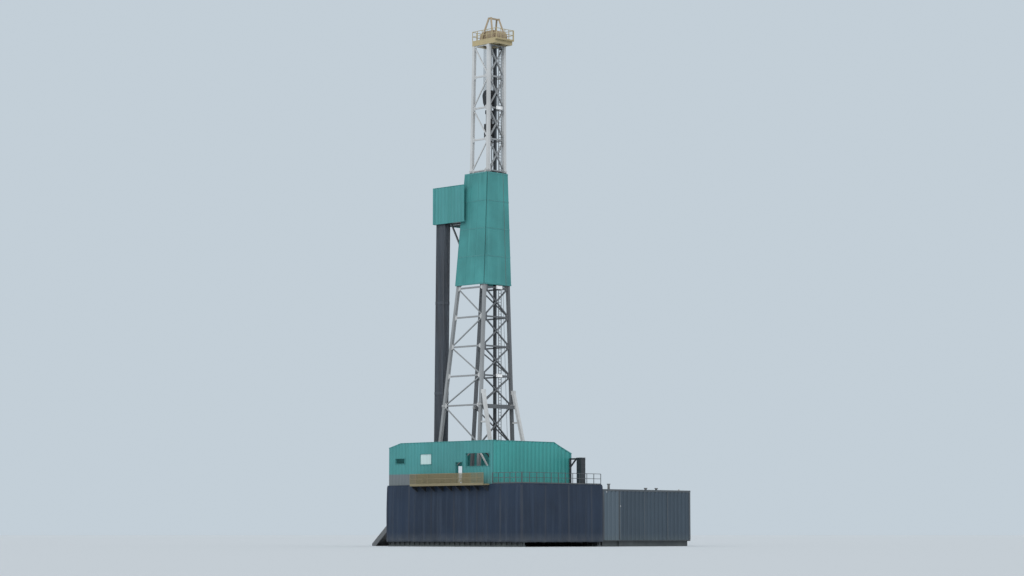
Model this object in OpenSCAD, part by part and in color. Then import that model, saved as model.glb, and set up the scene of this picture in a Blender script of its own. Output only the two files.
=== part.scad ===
// Land drilling rig as a 1:10 scale model, in millimetres.
// The well centre is the design origin; the whole model is then shifted so that
// the middle of its footprint on the ground is at (0, 0, 0).
// Near is the -Y side, far the +Y side, front the pipe ramp (-X), rear +X.

/* [Substructure] */
// Height of the drill floor above the ground
floor_z = 610; // [480:10:800]
// Length of floor ahead of the well centre, towards the pipe ramp
floor_front = 890; // [800:10:1100]
// Length of floor behind the well centre, out to the end of the rear platform
floor_rear = 1020; // [960:10:1300]
// Half of the width of the floor
floor_half = 565; // [500:5:700]
// Depth of the beams that carry the floor
floor_beam_h = 90; // [60:5:120]
// Thickness of the floor plate
deck_t = 10; // [6:1:16]
// Width of the posts and beams of the substructure sides
sub_bar = 34; // [24:1:50]
// Height of the base beams on the ground
base_h = 60; // [40:5:90]
// Number of bays in each substructure side
sub_bays = 5; // [3:1:8]

/* [Skirts] */
// Thickness of the dark tarpaulin skirt with its frame
skirt_t = 6; // [4:1:10]
// Depth of the folds in the skirt
skirt_fold = 5; // [2:0.5:8]
// Width of one fold
skirt_pitch = 65; // [40:5:120]
// Height of the skirt's hem above the ground
skirt_gap = 45; // [20:5:90]

/* [Floor walls] */
// Height of the wind walls round the drill floor
wall_h = 420; // [320:10:500]
// Thickness of the wind wall sheets
wall_t = 7; // [5:1:12]
// Depth of the ribs on the wind wall sheets
wall_rib = 4; // [2:0.5:6]
// Distance between the ribs
wall_pitch = 48; // [32:2:90]
// Distance from the well centre to the rear wind wall
wall_rear = 610; // [500:2:700]
// Width of the opening for pipe in the front wall
v_door_w = 300; // [240:10:380]
// Height of the opening for pipe in the front wall
v_door_h = 320; // [240:10:360]
// Width of the doorways for people
door_w = 95; // [80:1:120]
// Height of the doorways for people
door_h = 215; // [190:5:240]
// Length of the sloped cut at the top of the walls at the far rear corner
wall_chamfer_w = 230; // [120:10:300]
// Depth of that sloped cut
wall_chamfer_h = 105; // [30:5:110]
// Length of the sloped cut at the near front corner
front_chamfer_w = 180; // [100:10:220]
// Depth of that sloped cut
front_chamfer_h = 45; // [20:5:80]

/* [Mast] */
// Clear height of the mast from the floor to the crown frame
mast_h = 4460; // [4200:10:4700]
// Height of the bend in the mast's taper above the floor
knee_h = 3170; // [3000:10:3500]
// Distance from the well centre forward to the front legs at the floor
base_front = 520; // [420:5:540]
// The same distance at the bend in the taper
knee_front = 135; // [105:1:160]
// The same distance at the crown
top_front = 108; // [100:1:140]
// Half of the distance between the near and far legs at the floor
base_half = 250; // [200:5:320]
// The same half distance at the bend in the taper
knee_half = 115; // [110:1:160]
// The same half distance at the crown
top_half = 108; // [105:1:140]
// Distance from the well centre back to the rear legs
mast_back = 100; // [100:1:135]
// Width of the square legs
leg = 30; // [22:1:38]
// Width of the mast's cross beams
girt = 16; // [12:1:22]
// Width of the mast's diagonals
brace = 11; // [8:1:16]
// Height above the floor of the joint between the mast's lower and middle sections
a_frame_h = 800; // [700:10:900]
// Height above the floor to which the rear A-frame's legs reach
a_frame_top = 950; // [860:10:1050]
// Distance from the well centre back to the A-frame's feet
a_frame_foot = 350; // [300:5:400]

/* [Crown] */
// Depth of the crown beams
crown_beam = 38; // [28:2:50]
// Reach of the crown platform ahead of the well centre
crown_front = 124; // [122:1:150]
// Reach of the crown platform behind the well centre
crown_rear = 230; // [220:1:300]
// Half of the width of the crown platform
crown_half = 124; // [122:1:150]
// Height of the crown's handrails
rail_h = 107; // [90:1:120]
// Height of the frame over the crown, above the platform
gin_h = 240; // [180:5:300]

/* [Racking board and wraps] */
// Height of the racking board above the floor
board_h = 2672; // [2600:4:2720]
// Reach of the racking board ahead of the well centre
board_front = 600; // [540:5:640]
// Half of the width of the racking board
board_half = 200; // [190:5:240]
// Height of the wind walls round the racking board
board_wall_h = 372; // [300:4:420]
// Height of the wrap's foot above the middle cross beam of the mast's middle section
wrap_foot_gap = 25; // [20:1:60]
// Distance of the wrap's top below the knee
wrap_top_gap = 20; // [5:1:60]
// Clear distance from the legs to the wrap on the sides
wrap_off = 8; // [8:1:20]
// Reach of the wrap ahead of the front legs at its top
wrap_front = 70; // [50:2:110]
// The same reach at its foot
wrap_front_low = 20; // [16:2:50]
// Width of the wrap's seams and of the frame behind them
wrap_frame = 10; // [6:1:16]

/* [Pipe stands] */
// Diameter of the drill pipe
pipe_d = 12.7; // [10:0.1:14]
// Distance between the stands
pipe_pitch = 18.5; // [17:0.5:22]
// Number of stands along the floor
pipe_rows = 7; // [2:1:8]
// Number of stands across the floor
pipe_cols = 5; // [2:1:6]
// Height of the stands above the racking board
pipe_over = 120; // [60:10:200]

/* [Hoisting gear] */
// Number of sheaves in the block
sheaves = 5; // [3:1:6]
// Radius of the bottom of a sheave's groove
sheave_r = 56; // [48:1:60]
// Depth of a sheave's groove
groove = 6; // [4:0.5:8]
// Distance between neighbouring sheaves
sheave_pitch = 13; // [11:0.5:15]
// Diameter of the drilling line
line_d = 3.5; // [3:0.1:4.5]
// Height of the middle of the block's sheaves above the floor, at rest
block_h = 3950; // [3850:10:4050]
// Height of the top drive's body
drive_body_h = 260; // [220:10:300]

/* [Pipe ramp and stairs] */
// Slope of the pipe ramp
ramp_angle = 40; // [34:1:48]
// Width of the pipe ramp
ramp_w = 240; // [180:10:280]
// Distance from the middle of the floor to the middle of the stairs
stair_y = 440; // [400:5:470]
// Width of the stairs
stair_w = 90; // [80:1:110]
// Number of treads in the stairs
stair_treads_n = 26; // [20:1:34]

/* [Tank house] */
// Length of the tank house beside the rig
tank_l = 1320; // [1000:10:1600]
// Depth of the tank house
tank_w = 600; // [450:10:700]
// Height of the tank house's roof above the ground
tank_h = 560; // [480:10:640]
// Height of the skids under the tank house
tank_skid_h = 62; // [40:2:90]
// Depth of the ribs on the tank house's sides
tank_rib = 7; // [4:0.5:10]
// Distance between the ribs on the tank house
tank_pitch = 60; // [40:5:90]

/* [Hidden] */

TEAL = [0.13, 0.5, 0.44];
NAVY = [0.09, 0.12, 0.18];
SLATE = [0.16, 0.2, 0.24];
MAST_WHITE = [0.78, 0.79, 0.78];
YELLOW = [0.75, 0.6, 0.18];
STEEL = [0.3, 0.31, 0.32];
DARK_STEEL = [0.13, 0.14, 0.15];

// Clearance between pieces that seat on each other
fit = 0.3;
// Length by which a cutting tool passes the faces it cuts
over = 5;

rail_d = 5;
deck_z = floor_z - deck_t;
frame_z = deck_z - floor_beam_h;
skin_x0 = -floor_front;
skin_x1 = floor_rear;
crown_z = floor_z + mast_h;
crown_deck_z = crown_z + fit + crown_beam;
board_z = floor_z + board_h;
ramp_run = floor_z / tan(ramp_angle);
porch_w = 95;
tank_y0 = floor_half + fit + skirt_t + skirt_fold + fit;

// Corners of the footprint, which set where the middle of the model is
foot_x0 = -floor_front - fit - ramp_run;
foot_x1 = floor_rear + fit + skirt_t + skirt_fold;
foot_y0 = -floor_half - porch_w;
foot_y1 = tank_y0 + tank_l;

// Distance forward to the front legs at height h above the floor
function front_at(h) = h < knee_h
  ? base_front + (knee_front - base_front) * h / knee_h
  : knee_front + (top_front - knee_front) * (h - knee_h) / (mast_h - knee_h);
// Half of the distance between near and far legs at height h above the floor
function half_at(h) = h < knee_h
  ? base_half + (knee_half - base_half) * h / knee_h
  : knee_half + (top_half - knee_half) * (h - knee_h) / (mast_h - knee_h);
// Lean of the mast's sides between two heights
function lean(h0, h1) = atan((half_at(h0) - half_at(h1)) / (h1 - h0));

module placed() {
  translate([-(foot_x0 + foot_x1) / 2, -(foot_y0 + foot_y1) / 2, 0]) children();
}

// Flat bar of width w between two points of a drawing
module strip(a, b, w) {
  d = b - a;
  translate(a) rotate(atan2(d[1], d[0])) translate([0, -w / 2]) square([norm(d), w]);
}

// Square bar of width w between two points
module bar(a, b, w) {
  d = b - a;
  translate(a) rotate([0, acos(d[2] / norm(d)), atan2(d[1], d[0])])
    translate([-w / 2, -w / 2, 0]) cube([w, w, norm(d)]);
}

// Round bar of diameter w between two points
module rod(a, b, w) {
  d = b - a;
  translate(a) rotate([0, acos(d[2] / norm(d)), atan2(d[1], d[0])]) cylinder(d = w, h = norm(d), $fn = 24);
}

// The same shape on the far side
module far_side() {
  mirror([0, 1, 0]) children();
}

module both_sides() {
  children();
  far_side() children();
}

// Plan outline of a folded sheet that runs along +X with its flat back on y = 0
module folded_plan(l, t, depth, pitch) {
  n = max(1, round(l / pitch));
  step = l / n;
  polygon(concat(
    [[0, 0], [0, -t]],
    [for (i = [0 : n - 1], p = [[0.14, 0], [0.3, 1], [0.7, 1], [0.86, 0]]) [(i + p[0]) * step, -t - p[1] * depth]],
    [[l, -t], [l, 0]]
  ));
}

// Folded sheet of length l and height h that stands on z = 0
module folded_sheet(l, h, t, depth, pitch) {
  linear_extrude(h) folded_plan(l, t, depth, pitch);
}

// Sheets turned so that their folds face each side of the rectangle x0..x1, -half..half
module near_face(x0, half) {
  translate([x0, -half, 0]) children();
}
module far_face(x1, half) {
  translate([x1, half, 0]) rotate(180) children();
}
module rear_face(x1, y0) {
  translate([x1, y0, 0]) rotate(90) children();
}
module front_face(x0, y1) {
  translate([x0, y1, 0]) rotate(-90) children();
}

// Substructure

module base_beam() {
  flange = 12;
  web_t = 16;
  y = -floor_half + sub_bar;
  translate([-floor_front, y - sub_bar / 2, 0]) {
    translate([0, -flange / 2, 0]) cube([floor_front + floor_rear, sub_bar + flange, flange]);
    translate([0, (sub_bar - web_t) / 2, 0]) cube([floor_front + floor_rear, web_t, base_h]);
    translate([0, -flange / 2, base_h - flange]) cube([floor_front + floor_rear, sub_bar + flange, flange]);
  }
}

module base_beams() color(DARK_STEEL) both_sides() base_beam();

module sub_frame() {
  l = floor_front + floor_rear;
  z0 = base_h + fit;
  h = frame_z - fit - z0;
  step = (l - sub_bar) / sub_bays;
  translate([-floor_front + sub_bar / 2, -floor_half + sub_bar, z0]) rotate([90, 0, 0])
    linear_extrude(sub_bar, center = true) {
      for (i = [0 : sub_bays]) translate([i * step - sub_bar / 2, 0]) square([sub_bar, h]);
      translate([-sub_bar / 2, 0]) square([l, sub_bar * 0.7]);
      translate([-sub_bar / 2, h - sub_bar * 0.7]) square([l, sub_bar * 0.7]);
      for (i = [0 : sub_bays - 1])
        strip([(i + (i % 2)) * step, sub_bar / 3], [(i + 1 - (i % 2)) * step, h - sub_bar / 3], sub_bar * 0.6);
    }
}

module sub_frames() color(DARK_STEEL) both_sides() sub_frame();

// Frames across the two ends of the substructure, open in the middle below the floor beams
module cross_frames() {
  half = floor_half - 1.5 * sub_bar - fit;
  h = frame_z - fit - base_h - fit;
  knee = 260;
  bar_h = sub_bar * 0.7;
  color(DARK_STEEL) for (x = [-floor_front + sub_bar, floor_rear]) translate([x, 0, base_h + fit]) rotate([90, 0, -90])
    linear_extrude(sub_bar) {
      translate([-half, h - bar_h]) square([2 * half, bar_h]);
      for (s = [-1, 1]) {
        translate([s * (half - sub_bar / 2) - sub_bar / 2, 0]) square([sub_bar, h]);
        strip([s * (half - sub_bar / 2), h - knee], [s * (half - knee), h - bar_h / 2], bar_h);
      }
    }
}

rotary_r = 78;
rotary_bore = 35;

// Grid of beams under a plate, with a round seat for the rotary table
module drill_floor() {
  beam_w = 22;
  cells_x = 8;
  cells_y = 4;
  well_x = 230;
  step_x = (floor_front + floor_rear - beam_w) / cells_x;
  step_y = (2 * floor_half - beam_w) / cells_y;
  color(DARK_STEEL) difference() {
    union() {
      translate([-floor_front, -floor_half, deck_z]) cube([floor_front + floor_rear, 2 * floor_half, deck_t]);
      translate([0, 0, frame_z]) linear_extrude(floor_beam_h) difference() {
        translate([-floor_front, -floor_half]) square([floor_front + floor_rear, 2 * floor_half]);
        for (i = [0 : cells_x - 1], j = [0 : cells_y - 1])
          translate([-floor_front + beam_w + i * step_x, -floor_half + beam_w + j * step_y])
            square([step_x - beam_w, step_y - beam_w]);
        square([well_x, well_x], center = true);
      }
    }
    translate([0, 0, frame_z - over]) cylinder(r = rotary_r + fit, h = floor_beam_h + deck_t + 2 * over, $fn = 64);
  }
}

module rotary_table() {
  lip = 10;
  color(STEEL) difference() {
    union() {
      translate([0, 0, deck_z - 20]) cylinder(r = rotary_r, h = 20 + deck_t, $fn = 64);
      translate([0, 0, floor_z + fit]) cylinder(r = rotary_r + lip, h = 9, $fn = 64);
      translate([0, 0, floor_z - 1]) cylinder(r = rotary_r, h = 2, $fn = 64);
    }
    translate([0, 0, deck_z - 20 - over]) cylinder(r = rotary_bore, h = 80, $fn = 64);
  }
}

skirt_h = floor_z - skirt_gap;

module skirt_near() color(NAVY) translate([0, 0, skirt_gap])
  near_face(skin_x0, floor_half + fit)
    folded_sheet(skin_x1 - skin_x0, skirt_h, skirt_t, skirt_fold, skirt_pitch);

module skirt_far() color(NAVY) translate([0, 0, skirt_gap])
  far_face(skin_x1, floor_half + fit)
    folded_sheet(skin_x1 - skin_x0, skirt_h, skirt_t, skirt_fold, skirt_pitch);

module skirt_rear() color(NAVY) translate([0, 0, skirt_gap])
  rear_face(skin_x1 + fit, -floor_half)
    folded_sheet(2 * floor_half, skirt_h, skirt_t, skirt_fold, skirt_pitch);

// The front skirt stops below the ramp and the stairs, which hang on the floor's edge
front_skirt_drop = 62;
module skirt_front() color(NAVY) translate([0, 0, skirt_gap]) difference() {
  front_face(skin_x0 - fit, floor_half)
    folded_sheet(2 * floor_half, skirt_h, skirt_t, skirt_fold, skirt_pitch);
  translate([skin_x0 - 40, -ramp_w / 2 - 6, skirt_h - front_skirt_drop]) cube([80, ramp_w + 12, 100]);
  translate([skin_x0 - 40, stair_y - stair_w / 2 - 10, skirt_h - front_skirt_drop]) cube([80, stair_w + 20, 100]);
}

// Wind walls of the drill floor. They stand on the floor plate, just inside its edge.

wall_in = 14;
wall_z = floor_z + fit;
wall_half = floor_half - wall_in;
wall_x0 = -floor_front + wall_in;
corner = wall_t + wall_rib + 1;
side_window_x = -408;
side_window_w = 160;
side_window_h = 100;
side_window_z = 205;
louvre_x = 247;
louvre_w = 330;
louvre_h = 125;
louvre_z = 175;
near_door_x = 102;
hatch_x = -775;
hatch_w = 135;
hatch_h = 50;
hatch_z = 218;

// Ribbed panel with a frame on its inner side, between two marks along a wall and two heights
module wall_panel(p) {
  frame = 12;
  l = p[1] - p[0] - fit;
  h = p[3] - p[2] - fit;
  translate([p[0], 0, p[2]]) {
    folded_sheet(l, h, wall_t, wall_rib, wall_pitch);
    rotate([90, 0, 0]) translate([0, 0, -frame + 1]) linear_extrude(frame) difference() {
      square([l, h]);
      translate([frame, frame]) square([max(0.1, l - 2 * frame), max(0.1, h - 2 * frame)]);
    }
  }
}

// Panels given as [start, end, low edge, high edge]
module wall_panels(list) {
  for (p = list) wall_panel(p);
}

// Equal full-height panels between two marks
function panel_row(a, b, n) = [for (i = [0 : n - 1]) [a + (b - a) * i / n, a + (b - a) * (i + 1) / n, 0, wall_h]];
// Panels under and over an opening
function panel_frame(a, b, low, high) = concat(low > 0 ? [[a, b, 0, low]] : [], [[a, b, high, wall_h]]);

// Sloped cut at the top of a wall, across it, from the mark a where the wall has its full height to its end b
module wall_cut(a, b, depth) {
  translate([0, 40, 0]) rotate([90, 0, 0]) linear_extrude(80)
    polygon([[a, wall_h], [b, wall_h - depth], [b, wall_h + over], [a, wall_h + over]]);
}

wall_l = wall_rear - wall_x0;
module windwall_near() {
  hatch_a = hatch_x - wall_x0;
  hatch_b = hatch_a + hatch_w;
  window_a = side_window_x - wall_x0;
  window_b = window_a + side_window_w;
  door_a = near_door_x - wall_x0;
  door_b = door_a + door_w;
  louvre_a = louvre_x - wall_x0;
  louvre_b = louvre_a + louvre_w;
  color(TEAL) translate([0, 0, wall_z]) near_face(wall_x0, wall_half) difference() {
    wall_panels(concat(
    panel_row(0, hatch_a, 1),
    panel_frame(hatch_a, hatch_b, hatch_z, hatch_z + hatch_h),
    panel_row(hatch_b, window_a, 1),
    panel_frame(window_a, window_b, side_window_z, side_window_z + side_window_h),
    panel_row(window_b, door_a, 2),
    panel_frame(door_a, door_b, 0, door_h),
    panel_row(door_b, louvre_a, 1),
    panel_frame(louvre_a, louvre_b, louvre_z, louvre_z + louvre_h),
    panel_row(louvre_b, wall_l, 1)
    ));
    wall_cut(front_chamfer_w, -over, front_chamfer_h * (1 + over / front_chamfer_w));
  }
}

module windwall_far() color(TEAL) translate([0, 0, wall_z]) far_face(wall_rear, wall_half) difference() {
  wall_panels(panel_row(0, wall_l, 7));
  wall_cut(wall_chamfer_w, -over, wall_chamfer_h * (1 + over / wall_chamfer_w));
}

// Y span of the front and rear walls, between the side walls
cross_half = wall_half - 12;
cross_l = 2 * cross_half;
module windwall_front() {
  stair_a = cross_half - stair_y - door_w / 2;
  stair_b = stair_a + door_w;
  v_a = cross_half - v_door_w / 2;
  v_b = v_a + v_door_w;
  color(TEAL) translate([0, 0, wall_z]) front_face(wall_x0 + corner, cross_half) difference() {
    wall_panels(concat(
    panel_row(0, stair_a, 1),
    panel_frame(stair_a, stair_b, 0, door_h),
    panel_row(stair_b, v_a, 1),
    panel_frame(v_a, v_b, 0, v_door_h),
    panel_row(v_b, cross_l, 2)
    ));
    wall_cut(cross_l - front_chamfer_w, cross_l + over, front_chamfer_h * (1 + over / front_chamfer_w));
  }
}

module windwall_rear() color(TEAL) translate([0, 0, wall_z]) rear_face(wall_rear - corner, -cross_half) difference() {
  wall_panels(panel_row(0, cross_l, 5));
  wall_cut(cross_l - wall_chamfer_w, cross_l + over, wall_chamfer_h * (1 + over / wall_chamfer_w));
}

module side_window() {
  color([0.75, 0.9, 0.9]) translate([side_window_x, -wall_half - wall_t, wall_z + side_window_z])
    cube([side_window_w - fit, 4, side_window_h - fit]);
}

porch_x0 = -458;
porch_x1 = 590;
module porch() {
  beam = 14;
  color(STEEL) translate([porch_x0, -floor_half - porch_w, floor_z - beam]) {
    difference() {
      cube([porch_x1 - porch_x0, porch_w - fit - skirt_t - skirt_fold - fit, beam]);
      translate([beam, beam, -over]) cube([porch_x1 - porch_x0 - 2 * beam, 50, beam - 4 + over]);
    }
  }
}

// Handrail in a drawing plane: posts, top rail, middle rail and toe board
module rail_drawing(l, h, n) {
  for (i = [0 : n]) translate([i * (l - rail_d) / n, 0]) square([rail_d, h]);
  translate([0, h - rail_d]) square([l, rail_d]);
  translate([0, h / 2]) square([l, rail_d]);
  square([l, rail_d * 2]);
}

module rail_panel(l, h, n) {
  rotate([90, 0, 0]) linear_extrude(rail_d) rail_drawing(l, h, n);
}

module floor_rails() {
  far_x = handling_x0;
  color(YELLOW) translate([0, 0, floor_z + fit]) {
    translate([porch_x0, -floor_half - porch_w + rail_d, 0]) rail_panel(porch_x1 - porch_x0, rail_h, 12);
    translate([wall_rear + 8, -floor_half + rail_d + 2, 0]) rail_panel(floor_rear - wall_rear - 10, rail_h, 5);
    translate([floor_rear - rail_d - 2, -floor_half + 10, 0]) rotate(90)
      rail_panel(2 * floor_half - 20, rail_h, 11);
  }
}

// Broad post and light beam over the far edge of the rear platform
handling_x0 = wall_rear + 10;
handling_x1 = 805;
handling_post = 62;
handling_h = 268;
module handling_frame() {
  beam = 16;
  y = floor_half - 42;
  color(DARK_STEEL) translate([0, y, floor_z + fit]) {
    translate([handling_x1 - handling_post, -handling_post / 2, 0]) cube([handling_post, handling_post, handling_h]);
    rotate([90, 0, 0]) linear_extrude(beam, center = true) {
      translate([handling_x0, 0]) square([beam, handling_h]);
      translate([handling_x0, handling_h - beam]) square([handling_x1 - handling_x0 - 1, beam]);
      strip([handling_x0 + beam / 2, handling_h - 90], [handling_x0 + 90, handling_h - beam / 2], beam * 0.6);
    }
  }
}

// Ramp and stairs at the front

module pipe_ramp() {
  side = 12;
  plate = 8;
  lip_h = 34;
  l = floor_z / sin(ramp_angle);
  color(STEEL) translate([-floor_front - fit, 0, floor_z]) intersection() {
    rotate([0, 90 - ramp_angle + 180, 0]) rotate([0, 0, 90]) linear_extrude(l + 80) {
      translate([-ramp_w / 2, 0]) square([ramp_w, plate]);
      for (s = [-1, 1]) translate([s * (ramp_w - side) / 2 - side / 2, -18]) square([side, 18 + lip_h]);
    }
    translate([-ramp_run, -ramp_w, -floor_z]) cube([ramp_run, 2 * ramp_w, floor_z]);
  }
}

stair_run = 640;
stair_rise = floor_z / stair_treads_n;
stair_go = stair_run / stair_treads_n;
stair_x = -floor_front - fit;

module stair_stringers() {
  t = 8;
  depth = 44;
  color(STEEL) for (s = [-1, 1]) translate([stair_x, stair_y + s * (stair_w - t) / 2, 0]) rotate([90, 0, 0])
    linear_extrude(t, center = true) polygon([
      [-stair_run, 0], [-stair_run + depth, 0], [0, floor_z - depth], [0, floor_z], [-6, floor_z], [-stair_run, 6]
    ]);
}

module stair_treads() {
  t = 4;
  clear = 8 + fit;
  color(STEEL) for (i = [1 : stair_treads_n - 1])
    translate([stair_x - stair_run + (i - 0.1) * stair_go, stair_y - stair_w / 2 + clear, i * stair_rise - t])
      cube([stair_go * 0.95, stair_w - 2 * clear, t]);
}

module stair_rails() {
  lift = 95;
  color(YELLOW) for (s = [-1, 1]) translate([stair_x, stair_y + s * (stair_w / 2 + rail_d / 2 + fit), 0])
    rotate([90, 0, 0]) linear_extrude(rail_d, center = true) {
      for (r = [lift, lift * 0.55])
        strip([-stair_run + 10, 10 + r], [-4, floor_z - 6 + r], rail_d);
      for (i = [0 : 6])
        let (x = -stair_run + 20 + i * (stair_run - 30) / 6, z = (x + stair_run) * floor_z / stair_run)
          translate([x, z - 14]) square([rail_d, lift + 14]);
    }
}

// Hoisting machine behind the mast

drum_x = 400;
drum_z = floor_z + 95;
drum_r = 48;
drawworks_half = 190;
module drawworks() {
  frame_t = 16;
  base_t = 18;
  w = 150;
  color(TEAL) {
    translate([drum_x - w / 2 - 10, -drawworks_half, floor_z + fit]) cube([w + 20, 2 * drawworks_half, base_t]);
    for (y = [-drawworks_half, -82, 66, drawworks_half - frame_t])
      translate([drum_x, y + frame_t, floor_z + base_t]) rotate([90, 0, 0]) linear_extrude(frame_t)
        polygon([[-w / 2, 0], [w / 2, 0], [w / 2 - 12, 110], [w / 4, 150], [-w / 4, 150], [-w / 2 + 12, 110]]);
    translate([drum_x - 46, 80, floor_z + base_t]) cube([92, drawworks_half - 82, 120]);
    translate([drum_x - 46, -drawworks_half + 2, floor_z + base_t]) cube([92, drawworks_half - 82, 120]);
  }
  color(STEEL) translate([drum_x, -66 + fit, drum_z]) rotate([-90, 0, 0]) rotate_extrude($fn = 48)
    polygon([
      [0, 0], [drum_r + 14, 0], [drum_r + 14, 8], [drum_r, 8], [drum_r, 124], [drum_r + 14, 124],
      [drum_r + 14, 132 - 2 * fit], [0, 132 - 2 * fit]
    ]);
}

// Mast

upper_bays = 4;
middle_bays = 8;
lower_bays = 2;

// One side frame of the mast between two heights, in its own leaning plane, cut level at both ends
module mast_side(h0, h1, bays, gap0, gap1) {
  t = lean(h0, h1);
  e = leg;
  v = function(h) (h - h0) / cos(t);
  slope = (front_at(h1) - front_at(h0)) / (h1 - h0);
  f = function(h) [-(front_at(h0) + slope * (h - h0)), v(h)];
  b = function(h) [mast_back, v(h)];
  level = function(i) h0 + (h1 - h0) * i / bays;
  color(MAST_WHITE) intersection() {
    translate([0, -half_at(h0), floor_z + h0]) rotate([90 - t, 0, 0]) {
      linear_extrude(leg, center = true) {
        strip(f(h0 - e), f(h1 + e), leg);
        strip(b(h0 - e), b(h1 + e), leg);
      }
      linear_extrude(girt, center = true) for (i = [0 : bays]) strip(f(level(i)), b(level(i)), girt);
      linear_extrude(brace, center = true) for (i = [0 : bays - 1])
        if (i % 2 == 0) strip(f(level(i)), b(level(i + 1)), brace);
        else strip(b(level(i)), f(level(i + 1)), brace);
    }
    translate([-floor_front, -floor_half, floor_z + h0 + gap0])
      cube([2 * floor_front, 2 * floor_half, h1 - h0 - gap0 - gap1]);
  }
}

knee_gap = 0.45;
module mast_near_lower() mast_side(0, a_frame_h, lower_bays, fit, 0);
module mast_near_middle() mast_side(a_frame_h, knee_h, middle_bays, fit, 0);
module mast_near_upper() mast_side(knee_h, mast_h, upper_bays, knee_gap, 0);
module mast_far_lower() far_side() mast_near_lower();
module mast_far_middle() far_side() mast_near_middle();
module mast_far_upper() far_side() mast_near_upper();

// The rear face of the mast between two heights, fitted between the rear legs
module mast_back_face(h0, h1, bays, gap0) {
  inner = leg / 2 / cos(lean(h0, h1)) + fit;
  gusset = 26;
  level = function(i) h0 + (h1 - h0) * i / bays;
  half = function(h) half_at(h0) + (half_at(h1) - half_at(h0)) * (h - h0) / (h1 - h0);
  color(MAST_WHITE) translate([mast_back, 0, floor_z]) rotate([90, 0, 90])
    linear_extrude(girt, center = true) intersection() {
      union() {
        for (i = [0 : bays]) let (h = level(i)) strip([-half(h), h], [half(h), h], girt);
        for (i = [0 : bays - 1]) {
          strip([-half(level(i)), level(i)], [half(level(i + 1)), level(i + 1)], brace);
          strip([half(level(i)), level(i)], [-half(level(i + 1)), level(i + 1)], brace);
        }
        for (i = [0 : bays], s = [-1, 1]) let (h = level(i))
          translate([s * (half(h) - inner - gusset / 2), h]) square([gusset, gusset * 1.9], center = true);
      }
      polygon([
        [-half(h0 + gap0) + inner, h0 + gap0], [half(h0 + gap0) - inner, h0 + gap0],
        [half(h1) - inner, h1], [-half(h1) + inner, h1]
      ]);
    }
}

module mast_back_lower() mast_back_face(0, a_frame_h, 2, fit);
module mast_back_middle() mast_back_face(a_frame_h, knee_h, middle_bays, fit);
module mast_back_upper() mast_back_face(knee_h, mast_h, upper_bays, knee_gap);

// Rail behind the travelling gear, fixed to the cross beams of the rear face
guide_w = 30;
guide_d = 20;
guide_x = mast_back - girt / 2 - fit - guide_d;
module guide_rail() {
  flange = 4;
  low = 30;
  color(DARK_STEEL) translate([guide_x, 0, floor_z + low]) linear_extrude(mast_h - 2 * low) {
    for (x = [0, guide_d - flange]) translate([x, -guide_w / 2]) square([flange, guide_w]);
    translate([0, -flange / 2]) square([guide_d, flange]);
  }
}

// Raking rear leg of the A-frame with its ties, in the plane of the mast's side
module a_frame_side() {
  t = lean(0, a_frame_top);
  v = a_frame_top / cos(t);
  head = mast_back + leg / 2 + fit;
  shoe = leg * 1.3;
  rake = function(h) a_frame_foot + (head + leg / 2 - a_frame_foot) * h / v;
  color(MAST_WHITE) intersection() {
    translate([0, -half_at(0), floor_z]) rotate([90 - t, 0, 0]) {
      linear_extrude(leg, center = true) {
        strip([rake(-leg), -leg], [rake(v), v], leg);
        translate([head, v - shoe]) square([shoe, shoe]);
      }
      linear_extrude(girt, center = true) for (k = [0.36, 0.66])
        translate([head, k * v - girt / 2]) square([rake(k * v) - head, girt]);
      linear_extrude(girt, center = true) intersection() {
        strip([head, v * 0.34], [rake(0), v * 0.03], brace);
        translate([head, 0]) square([a_frame_foot - head, v]);
      }
    }
    translate([head, -floor_half, floor_z + fit]) cube([floor_rear, floor_half, a_frame_top - fit]);
  }
}

module a_frame_legs() both_sides() a_frame_side();

// Beam that joins the two raking legs behind the mast
module a_frame_head() {
  depth = leg * 1.2;
  h = a_frame_h - depth;
  inner = half_at(h + depth) - leg / 2 / cos(lean(0, a_frame_top)) - fit;
  head = mast_back + leg / 2 + fit;
  color(MAST_WHITE) translate([head + leg / 2, -inner, floor_z + h]) cube([leg, 2 * inner, depth]);
}

// Crown

crown_frame_rear = 205;
module crown_frame() {
  beam = 20;
  deck = 6;
  slot_x = 75;
  slot_y = 100;
  color(YELLOW) {
    translate([0, 0, crown_z + fit]) linear_extrude(crown_beam) difference() {
      translate([-crown_front, -crown_half]) square([crown_front + crown_frame_rear, 2 * crown_half]);
      // Pocket for the drilling line and its sheaves
      translate([-slot_x, -slot_y / 2]) square([slot_x + crown_frame_rear - beam, slot_y]);
      for (s = [-1, 1]) translate([-crown_front + beam, s * (slot_y / 2 + crown_half) / 2 - 16])
        square([crown_front + crown_frame_rear - 2 * beam, 24]);
    }
    translate([0, 0, crown_deck_z - 1]) linear_extrude(deck + 1) difference() {
      translate([-crown_front, -crown_half]) square([crown_front + crown_rear, 2 * crown_half]);
      translate([-slot_x, -slot_y / 2]) square([slot_x + crown_frame_rear - beam, slot_y]);
    }
  }
}

crown_top = crown_deck_z + 6;
module crown_rail() {
  l = crown_front + crown_rear;
  color(YELLOW) translate([0, 0, crown_top + fit]) {
    for (s = [-1, 1]) translate([-crown_front, s * (crown_half - rail_d / 2) + rail_d / 2, 0]) rail_panel(l, rail_h, 5);
    for (x = [-crown_front, crown_rear - rail_d])
      translate([x, -crown_half + rail_d + fit, 0]) rotate(90) mirror([0, 1, 0])
        rail_panel(2 * crown_half - 2 * rail_d - 2 * fit, rail_h, 4);
  }
}

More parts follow.
